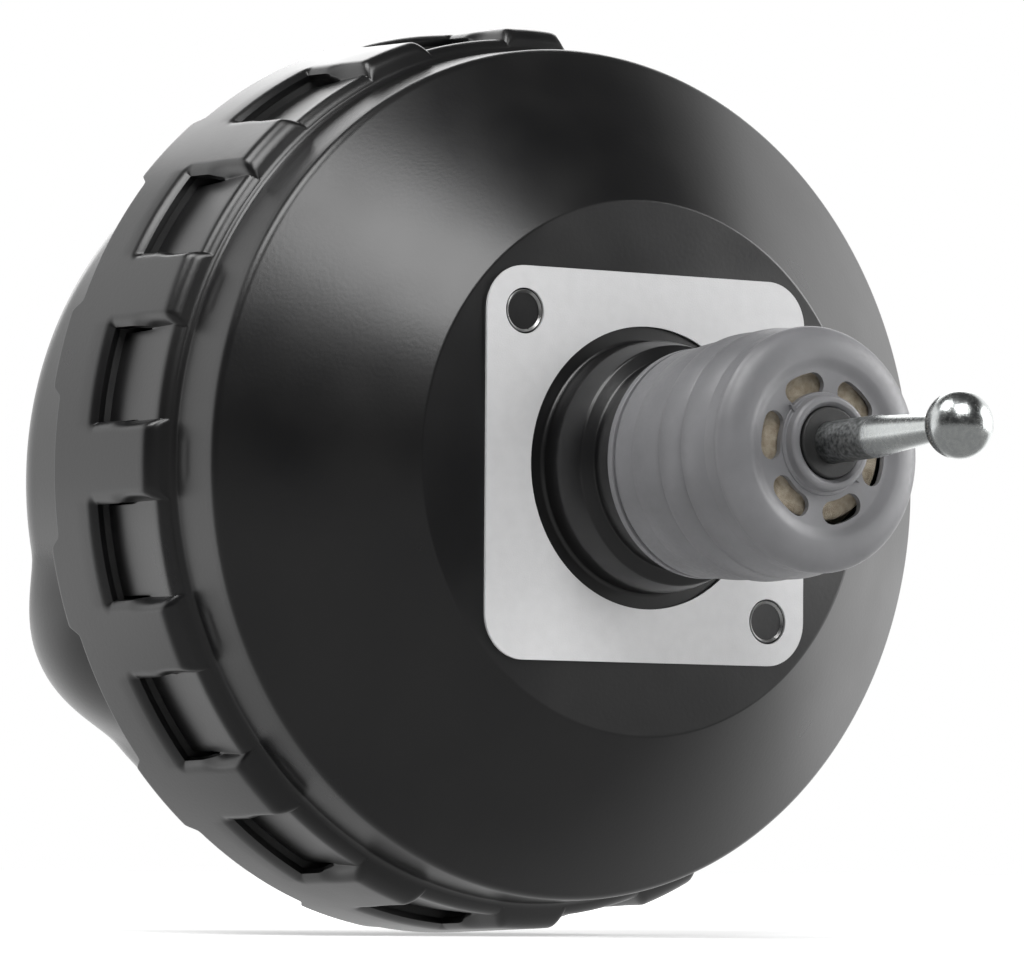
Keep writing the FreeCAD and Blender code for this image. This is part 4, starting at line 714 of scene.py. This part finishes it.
def flange_places(columns, offs, inset):
    """Rows of places from the step to the far end of the windows, with the tongues and the relief."""
    skirt = flange_rows((STEP_R, STEP_Y), (skirt_r(FLANGE_END_Y), FLANGE_END_Y), inset, STEP_BEND)
    pocket = flange_rows((TONGUE_TOP_R, TONGUE_TOP_Y), (TONGUE_END_R, TONGUE_END_Y), inset, TONGUE_BEND)
    pressed = relief_rows(inset)
    rise = [smooth(a, RELIEF_FROM - RELIEF_BLEND, RELIEF_FROM) for a in columns]
    fall = [1 - smooth(a, RELIEF_TO, RELIEF_TO + RELIEF_BLEND) for a in columns]
    places = []
    for row, (outer, tongue, sunk) in enumerate(zip(skirt, pocket, pressed)):
        share = max(row - (len(skirt) - 1 - STRAIGHT_ROWS), 0) / STRAIGHT_ROWS
        lip = tongue.lerp(outer - Vector((LIP_DEPTH, 0)), smooth(share, *LIP_SHARES))
        line = []
        for i, a in enumerate(columns):
            if offs[i] < WINDOW_HALF_ANGLE - 0.01:
                spot = tongue
            else:
                spot = outer.lerp(lip, lip_share(offs[i], outer.y))
            spot = spot.lerp(sunk, rise[i] * fall[i])
            line.append(polar(spot.x, spot.y, a))
        places.append(line)
    return places


def shell_skin(columns, inset):
    """Places of one side of the sheet row by row, and how many rows come before the windows' far end."""
    offs = [off_pocket(a) for a in columns]
    places = upper_rows(columns, inset) + flange_places(columns, offs, inset)
    window_row = len(places)
    for rise in LIP_RISES:
        y = WINDOW_Y + rise
        drawn = [LIP_DEPTH * lip_share(off, y) for off in offs]
        places.append([polar(skirt_r(y) - inset - down, y, a) for down, a in zip(drawn, columns)])
    start_y = WINDOW_Y + LIP_RISES[-1]
    for share in EDGE_SHARES:
        heights = [start_y + share * (edge_y(a) - start_y) for a in columns]
        places.append([polar(skirt_r(y) - inset, y, a) for y, a in zip(heights, columns)])
    return places, window_row


def rear_shell():
    """The rear shell as one sheet with lanced pockets and a castellated edge."""
    columns = shell_columns()
    outer, window_row = shell_skin(columns, 0.0)
    inner = shell_skin(columns, SHEET)[0]
    count = len(columns)
    size = count * len(outer)
    torn = window_row - STRAIGHT_ROWS + round(TORN_SHARE * STRAIGHT_ROWS)
    faces = []
    for i in range(count):
        ahead = (i + 1) % count
        centre = columns[i] + (columns[ahead] - columns[i]) % 360 / 2
        off = off_pocket(centre)
        for row in range(len(outer) - 1):
            slot = row == window_row - 1 and off < WINDOW_HALF_ANGLE
            slit = torn <= row < window_row and TONGUE_HALF_ANGLE < off < WINDOW_HALF_ANGLE
            if not slot and not slit:
                low = row * count
                high = low + count
                faces.append((low + i, high + i, high + ahead, low + ahead))
    sides = {(face[i], face[(i + 1) % 4]) for face in faces for i in range(4)}
    rims = [(a, b) for a, b in sides if (b, a) not in sides]
    faces += [tuple(v + size for v in reversed(face)) for face in faces]
    faces += [(b, a, a + size, b + size) for a, b in sorted(rims)]
    places = [p for line in outer + inner for p in line]
    shell = piece("rear_shell_skin", places, faces, "shell", "shell_paint")
    soften(shell, EDGE_ROUNDING)
    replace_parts(shell, "rear_shell")


# Front shell

def front_outline():
    """Outer section of the front shell without its dome, with close points where the dome can stand."""
    points = rounded([
        (RIM_R, RIM_Y), (RIM_R, SHOULDER_Y, RIM_BEND),
        (SHOULDER_R, SHOULDER_Y + SHOULDER_RISE, SHOULDER_BEND), (WALL_R, FRONT_Y, WALL_CORNER_R),
        (FACE_R, FRONT_Y),
    ], 10)
    # The last bend has eleven points, so the wall ends at the first of them
    wall = [points[-13].lerp(points[-12], share) for share in between(0.0, 1.0, 20)[:-1]]
    face = [points[-2].lerp(points[-1], share) for share in between(0.15, 1.0, 8)]
    return points[:-13] + wall + points[-12:-1] + face


def front_section(angle):
    """Outer section of the front shell in one half plane, with the dome blended in."""
    points = front_outline()
    lean = math.radians((angle - DOME_ANGLE + 180) % 360 - 180)
    radius_sq = DOME_R ** 2 - (DOME_REACH * math.sin(lean)) ** 2
    if abs(lean) > math.pi / 2 or radius_sq <= 0:
        return points
    eye = Vector(DOME_EYE)
    offset = eye - Vector((DOME_REACH * math.cos(lean), DOME_Y))
    blended = []
    for point in points:
        blend = DOME_EDGE_BLEND + DOME_BLEND * smooth(FRONT_Y - point.y, 0.0, DOME_BLEND_REACH)
        way = point - eye
        base = way.length
        way.normalize()
        inside = offset.dot(way) ** 2 - offset.length_squared + radius_sq
        reach = -offset.dot(way) + math.sqrt(inside) if inside > 0 else 0.0
        top = (FRONT_Y - eye.y) / way.y if way.y > 0.01 else 1e6
        reach = soft_min(reach, top, DOME_FACE_BLEND)
        blended.append(eye + way * soft_max(base, reach, blend))
    return blended


def soft_max(a, b, blend):
    """The larger of two, with a smooth change between them."""
    share = max(blend - abs(a - b), 0.0) / blend
    return max(a, b) + share * share * blend / 4


def soft_min(a, b, blend):
    """The smaller of two, with a smooth change between them."""
    return -soft_max(-a, -b, blend)


def front_shell():
    """The front shell's rim, wall and dome, with its flat face made apart."""
    columns = between(0.0, 360.0, FRONT_COLUMNS)[:-1]
    lines = [front_section(a) for a in columns]
    rows = len(lines[0])
    places = [polar(*line[row], a) for row in range(rows) for a, line in zip(columns, lines)]
    shell = piece("front_shell_skin", places, grid_faces(rows, FRONT_COLUMNS), "shell", "shell_paint")
    wall = shell.modifiers.new("wall", "SOLIDIFY")
    wall.thickness = SHEET * MM
    wall.offset = -1.0
    apply_modifiers(shell)
    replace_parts(shell, "front_shell")
    holes = [ring_line(BOLT_SPIGOT_R, x, z) for x, z in BOLT_PLACES]
    port = ring_line(GROMMET_HOLE_R, VALVE_X, VALVE_X)
    face = plate("front_shell_face", [ring_line(FACE_R), ring_line(HUB_HOLE_R), port] + holes,
                 FRONT_Y - SHEET / 2, SHEET, 0.0)
    seat = plate("front_shell_seat", [oval_line(), ring_line(HUB_HOLE_R)] + holes,
                 FRONT_Y + SEAT_RISE / 2, SEAT_RISE, SEAT_ROUNDING)
    for item in (face, seat):
        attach(item, "shell")
        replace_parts(item, "front_shell")


# Tie bolts

def thread(turn, y):
    """Share of a thread's depth, from 0 at its root to 1 at its crest, at a turn in radians and a height."""
    phase = (y / THREAD_PITCH - turn / (2 * math.pi)) % 1.0
    return min(max(1.5 - abs(phase - 0.5) * 4, 0.0), 1.0)


def threaded_bolt(name, x, z):
    """A tie bolt with its tapped pedal end and its threaded stud."""
    tap_y = BOLT_END_Y + TAP_CHAMFER + TAP_RELIEF_DEPTH
    mouth_r = BOLT_SPIGOT_R - TAP_RIM
    relief_r = mouth_r - TAP_CHAMFER
    edge_r = mouth_r + TAP_EDGE
    stud_y = FRONT_Y + SEAT_RISE
    thread_y = stud_y + STUD_NECK_LENGTH
    rows = [(0.0, tap_y + TAP_DEPTH + TAP_R / 2, 0)]
    rows += [(TAP_R, y, THREAD_DEPTH) for y in reversed(between(tap_y, tap_y + TAP_DEPTH, TAP_ROWS))]
    rows += [
        (relief_r, tap_y, 0), (relief_r, BOLT_END_Y + TAP_CHAMFER, 0), (mouth_r, BOLT_END_Y, 0),
        (edge_r, BOLT_END_Y + TAP_EDGE, 0), (edge_r, BOLT_NECK_Y, 0), (BOLT_SPIGOT_R, BOLT_NECK_Y, 0),
        (BOLT_SPIGOT_R, stud_y, 0), (STUD_NECK_R, stud_y, 0), (STUD_NECK_R, thread_y, 0),
    ]
    rows += [(STUD_R, y, -THREAD_DEPTH) for y in between(thread_y, STUD_END_Y - STUD_CHAMFER, STUD_ROWS)]
    rows += [(STUD_END_R, STUD_END_Y, 0), (0.0, STUD_END_Y, 0)]
    places = []
    for radius, y, depth in rows:
        for turn in between(0.0, 2 * math.pi, BOLT_COLUMNS)[:-1]:
            r = radius + depth * (1 - thread(turn, y))
            places.append(Vector((x + r * math.cos(turn), y, z + r * math.sin(turn))) * MM)
    return piece(name, places, grid_faces(len(rows), BOLT_COLUMNS), "shell", "zinc_steel")


# Boot

def leaned(place, y, degrees):
    """A place turned about a line along X at a height, so that what is nearer to the pedal rises."""
    turn = math.radians(degrees)
    ahead = place.y - y * MM
    return Vector((place.x, y * MM + ahead * math.cos(turn) + place.z * math.sin(turn),
                   place.z * math.cos(turn) - ahead * math.sin(turn)))


def bulged(start, end):
    """Points from start to end with a slight bulge outwards between them."""
    found = []
    for share in between(0.0, 1.0, 8)[1:-1]:
        r = start[0] + (end[0] - start[0]) * share + BOOT_BULGE * 4 * share * (1 - share)
        found.append((r, start[1] + (end[1] - start[1]) * share))
    return found


def boot_ring(name, profile):
    """A closed ring of the boot that leans with it."""
    places, faces = lathe(profile, BOOT_COLUMNS)
    near = -BOOT_TILT_Y - BOOT_TILT_REACH
    far = -BOOT_TILT_Y + BOOT_TILT_REACH
    places = [leaned(p, BOOT_TILT_Y, BOOT_TILT * smooth(-p.y / MM, near, far)) for p in places]
    return piece(name, places, faces, None, "boot_rubber", 30.0)


def boot_bellows():
    """The sleeve on the neck and the folds."""
    outline = [(SLEEVE_R, SLEEVE_END_Y)]
    start = FIRST_FOLD
    for valley_r, valley_y, crest_r, crest_y in BOOT_FOLDS:
        outline += [start] + bulged(start, (valley_r, valley_y))
        outline += [(valley_r, valley_y), (valley_r - FOLD_GROOVE, valley_y - FOLD_DROP)]
        outline += [(crest_r - inward, crest_y + ahead) for inward, ahead in CREST_CORNER]
        start = (crest_r, crest_y - CREST_DROP)
    outline += [start] + bulged(start, (SPLIT_R, SPLIT_Y)) + [(SPLIT_R, SPLIT_Y)]
    inner = [(r - BOOT_WALL, y) for r, y in reversed(outline)]
    inner += [(SLEEVE_R - BOOT_WALL, SLEEVE_BACK_Y), (NECK_R + SLEEVE_GAP, SLEEVE_BACK_Y)]
    return boot_ring("boot_bellows", [(NECK_R + SLEEVE_GAP, SLEEVE_LIP[0][1]), *SLEEVE_LIP, *outline, *inner])


def boot_folds():
    """The last stretch of fold before the face."""
    outer = [(SPLIT_R, SPLIT_Y), LAST_FOLD_START, LAST_FOLD[:2]]
    return boot_ring("boot_last_fold", outer + [(r - BOOT_WALL, y) for r, y in reversed(outer)])


def vent_cutter(angle):
    """A curved vent with round ends, as a solid through the boot's face."""
    start = math.radians(angle - VENT_HALF_ANGLE)
    stop = math.radians(angle + VENT_HALF_ANGLE)
    radius = VENT_WIDTH / 2
    first_end, last_end = arc(0.0, 0.0, VENT_PITCH_R, start, stop, 1)
    outline = arc(0.0, 0.0, VENT_PITCH_R + radius, start, stop, 10)
    outline += arc(*last_end, radius, stop, stop + math.pi, 10)[1:-1]
    outline += arc(0.0, 0.0, VENT_PITCH_R - radius, stop, start, 10)
    outline += arc(*first_end, radius, start + math.pi, start + 2 * math.pi, 10)[1:-1]
    count = len(outline)
    places = [leaned(Vector((x, y, z)) * MM, BOOT_TILT_Y, BOOT_TILT) for y in VENT_CUT_Y for x, z in outline]
    faces = [tuple(range(count)), tuple(reversed(range(count, 2 * count)))]
    faces += [(i, i + count, (i + 1) % count + count, (i + 1) % count) for i in range(count)]
    mesh = bpy.data.meshes.new("vent")
    mesh.from_pydata([tuple(p) for p in places], [], faces)
    face_out(mesh)
    cutter = bpy.data.objects.new("vent", mesh)
    bpy.context.scene.collection.objects.link(cutter)
    return cutter


def boot_face():
    """The vented face of the boot with its round shoulder."""
    recess_y = BOOT_FACE_Y + RECESS_DEPTH
    valley_r, valley_y, crest_r, crest_y = LAST_FOLD
    outer = [(valley_r, valley_y), (valley_r - FOLD_GROOVE, valley_y - LAST_FOLD_DROP)]
    outer += [(crest_r - inward, crest_y + ahead) for inward, ahead in LAST_CREST_CORNER]
    for turn in between(0.0, math.pi / 2, 14):
        outer.append((SHOULDER_END[0] + (SHOULDER_START[0] - SHOULDER_END[0]) * math.cos(turn),
                      SHOULDER_START[1] + (SHOULDER_END[1] - SHOULDER_START[1]) * math.sin(turn)))
    for share in between(0.0, 1.0, 8):
        r = RECESS_EDGE_R + (RECESS_R - RECESS_EDGE_R) * share
        outer.append((r, BOOT_FACE_Y + RECESS_DEPTH * smooth(share)))
    outer.append((FACE_HOLE_R, recess_y))
    inner = [(FACE_HOLE_R, recess_y + BOOT_WALL), (BOOT_FACE_INNER_R, recess_y + BOOT_WALL), SHOULDER_INNER,
             (valley_r - BOOT_WALL, valley_y)]
    face = boot_ring("boot_face", outer + inner)
    cutters = [vent_cutter(VENT_FIRST + i * 360 / VENTS) for i in range(VENTS)]
    for cutter in cutters:
        cut = face.modifiers.new("vent", "BOOLEAN")
        cut.operation = "DIFFERENCE"
        cut.solver = "EXACT"
        cut.object = cutter
    apply_modifiers(face)
    for cutter in cutters:
        bpy.data.objects.remove(cutter)
    soften(face, VENT_ROUNDING)
    return face


def rod_ring(corners, steps):
    """Places and faces of a ring with rounded corners that stands on the leaning rod."""
    places, faces = lathe(rounded(corners, steps), COLLAR_COLUMNS)
    return [leaned(p, PIVOT_Y, ROD_TILT) for p in places], faces


def boot_collar():
    """The thick collar on the rod's ring, with the low band round it and two small nubs."""
    band_y = BOOT_FACE_Y + COLLAR_BAND_RISE
    places, faces = rod_ring([
        (COLLAR_BAND_R, COLLAR_FAR_Y), (COLLAR_BAND_R, band_y, COLLAR_LOW_ROUNDING),
        (COLLAR_R, band_y, COLLAR_LOW_ROUNDING), (COLLAR_R, COLLAR_NEAR_Y, COLLAR_ROUNDING),
        (COLLAR_R - COLLAR_MOUTH, COLLAR_NEAR_Y, COLLAR_MOUTH_ROUNDING),
        (COLLAR_INNER_R, COLLAR_NEAR_Y + COLLAR_MOUTH_DEPTH), (COLLAR_INNER_R, COLLAR_FAR_Y),
    ], 6)
    narrow, wide = NUB_HALF_ANGLES
    foot_r = COLLAR_R - NUB_SINK
    crest_r = COLLAR_BAND_R + NUB_RISE
    for angle in NUB_ANGLES:
        start = len(places)
        for y in NUB_Y:
            for radius, side in ((foot_r, -wide), (crest_r, -narrow), (crest_r, narrow), (foot_r, wide)):
                places.append(leaned(polar(radius, y, angle + side), PIVOT_Y, ROD_TILT))
        for corners in ((3, 2, 1, 0), (4, 5, 6, 7), (0, 1, 5, 4), (1, 2, 6, 5), (2, 3, 7, 6), (3, 0, 4, 7)):
            faces.append(tuple(start + corner for corner in corners))
    return piece("boot_collar", places, faces, "push_rod", "boot_rubber", 30.0)


def filter_face():
    """The front layer of the felt, on the rod just behind the vents."""
    places, faces = rod_ring([
        (FELT_INNER_R, FELT_FAR_Y), (FELT_R, FELT_FAR_Y, FELT_FAR_ROUNDING),
        (FELT_R, FELT_NEAR_Y, FELT_NEAR_ROUNDING), (FELT_INNER_R, FELT_NEAR_Y),
    ], 5)
    return piece("filter_front_felt", places, faces, "push_rod", "filter_felt")


def boot():
    """The rubber bellows in pieces: the sleeve with its folds, the last fold, the vented face, and the
    collar, which rides on the rod.
    """
    bellows = boot_bellows()
    last = boot_folds()
    face = boot_face()
    collar = boot_collar()
    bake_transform(bellows)
    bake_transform(last)
    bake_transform(face)
    for item in (bellows, last, face, collar):
        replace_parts(item, "boot")


# Springs

def sprung(node):
    """A copy of a spring's coil that takes the place of its imported part."""
    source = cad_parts[node]
    item = bpy.data.objects.new(node + "_coil", source.data.copy())
    bpy.context.scene.collection.objects.link(item)
    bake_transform(item)
    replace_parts(item, node)


# Camera, light and room

def make_camera():
    """The photograph's camera."""
    yaw = math.radians(CAMERA_YAW)
    pitch = math.radians(CAMERA_PITCH)
    roll = math.radians(CAMERA_ROLL)
    back = Vector((math.sin(yaw) * math.cos(pitch), -math.cos(yaw) * math.cos(pitch), math.sin(pitch)))
    aside = Vector((math.cos(yaw), math.sin(yaw), 0))
    upright = back.cross(aside)
    right = aside * math.cos(roll) + upright * math.sin(roll)
    up = upright * math.cos(roll) - aside * math.sin(roll)
    data = bpy.data.cameras.new("camera")
    data.lens = CAMERA_LENS
    data.sensor_width = SENSOR_WIDTH
    data.clip_end = CAMERA_REACH
    camera = bpy.data.objects.new("camera", data)
    bpy.context.scene.collection.objects.link(camera)
    turn = Matrix((right, up, back)).transposed().to_4x4()
    camera.matrix_world = Matrix.Translation(Vector(CAMERA_PLACE) * MM) @ turn
    bpy.context.scene.camera = camera


def make_lamp(name, place, power, width, height):
    """A soft panel that faces the object."""
    data = bpy.data.lights.new(name, "AREA")
    data.shape = "RECTANGLE"
    data.size = width
    data.size_y = height
    data.energy = power
    lamp = bpy.data.objects.new(name, data)
    bpy.context.scene.collection.objects.link(lamp)
    lamp.location = place
    lamp.rotation_euler = Vector(place).to_track_quat("Z", "Y").to_euler()
    lamp.visible_camera = False


def behind(material, place):
    """How far a place or a direction lies towards the back, and by a smaller share to the right."""
    axes = wire(material, "ShaderNodeSeparateXYZ", {"Vector": place}).outputs
    return combined(material, "ADD", axes["Y"], combined(material, "MULTIPLY", axes["X"], SIDE_SHARE))


def make_world():
    """White for the camera. The object sees a bright back and sides, and a dark front."""
    world = bpy.data.worlds.new("studio")
    bpy.context.scene.world = world
    world.use_nodes = True
    place = wire(world, "ShaderNodeTexCoord").outputs["Generated"]
    height = wire(world, "ShaderNodeSeparateXYZ", {"Vector": place}).outputs["Z"]
    wall = spread(world, behind(world, place), *WALL_STRENGTH, *WALL_STRETCH)
    top = spread(world, height, *CEILING_STRENGTH, *CEILING_STRETCH)
    seen = combined(world, "MULTIPLY", wall, top)
    path = wire(world, "ShaderNodeLightPath").outputs
    background = world.node_tree.nodes["Background"]
    world.node_tree.links.new(level(world, path["Is Camera Ray"], seen, 1.0), background.inputs["Strength"])
    background.inputs["Color"].default_value = (1, 1, 1, 1)


def floor_white():
    """White to the camera, plain paper that takes the shadow, and a room's gradient in reflections."""
    material = bpy.data.materials.new("floor_white")
    material.use_nodes = True
    material.node_tree.nodes.clear()
    path = wire(material, "ShaderNodeLightPath").outputs
    place = wire(material, "ShaderNodeTexCoord").outputs["Object"]
    away = wire(material, "ShaderNodeVectorMath", {0: place}, operation="LENGTH").outputs["Value"]
    lit = spread(material, away, *FLOOR_GLOW_STRENGTH, *FLOOR_GLOW_STRETCH)
    shown = combined(material, "MULTIPLY", path["Is Camera Ray"], lit)
    back = spread(material, behind(material, place), *MIRRORED_FLOOR_STRENGTH, *MIRRORED_FLOOR_STRETCH)
    glow = wire(material, "ShaderNodeEmission", {"Strength": shown}).outputs[0]
    mirrored = wire(material, "ShaderNodeEmission", {"Strength": back}).outputs[0]
    white = (FLOOR_WHITE, FLOOR_WHITE, FLOOR_WHITE, 1)
    paper = wire(material, "ShaderNodeBsdfDiffuse", {"Color": white}).outputs[0]
    both = wire(material, "ShaderNodeAddShader", {0: glow, 1: paper}).outputs[0]
    seen = wire(material, "ShaderNodeMixShader", {0: path["Is Glossy Ray"], 1: both, 2: mirrored}).outputs[0]
    wire(material, "ShaderNodeOutputMaterial", {"Surface": seen})
    return material


def make_floor():
    """A plain white floor that keeps the object's shadow."""
    low = cad_box[0].z - FLOOR_GAP
    corners = [(x * FLOOR_REACH, y * FLOOR_REACH, low) for x, y in ((-1, -1), (1, -1), (1, 1), (-1, 1))]
    mesh = bpy.data.meshes.new("floor")
    mesh.from_pydata(corners, [], [(0, 1, 2, 3)])
    mesh.materials.append(floor_white())
    floor = bpy.data.objects.new("floor", mesh)
    bpy.context.scene.collection.objects.link(floor)


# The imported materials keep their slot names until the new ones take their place
for material in list(bpy.data.materials):
    material.name = "packed_" + material.name
FINISHES = make_finishes()
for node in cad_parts.values():
    slot = node.data.materials[0].name.replace("packed_", "")
    node.data.materials[0] = FINISHES[slot]

make_camera()
make_world()
for lamp, values in LAMPS.items():
    make_lamp(lamp, *values)
make_floor()
rear_shell()
front_shell()
for end, (x, z) in zip(("upper", "lower"), BOLT_PLACES):
    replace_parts(threaded_bolt("tie_bolt_look_" + end, x, z), "tie_bolt_" + end)
boot()
filter_face()
sprung("return_spring")
sprung("check_spring")
sprung("rod_return_spring")

bpy.context.scene.view_settings.view_transform = "Standard"
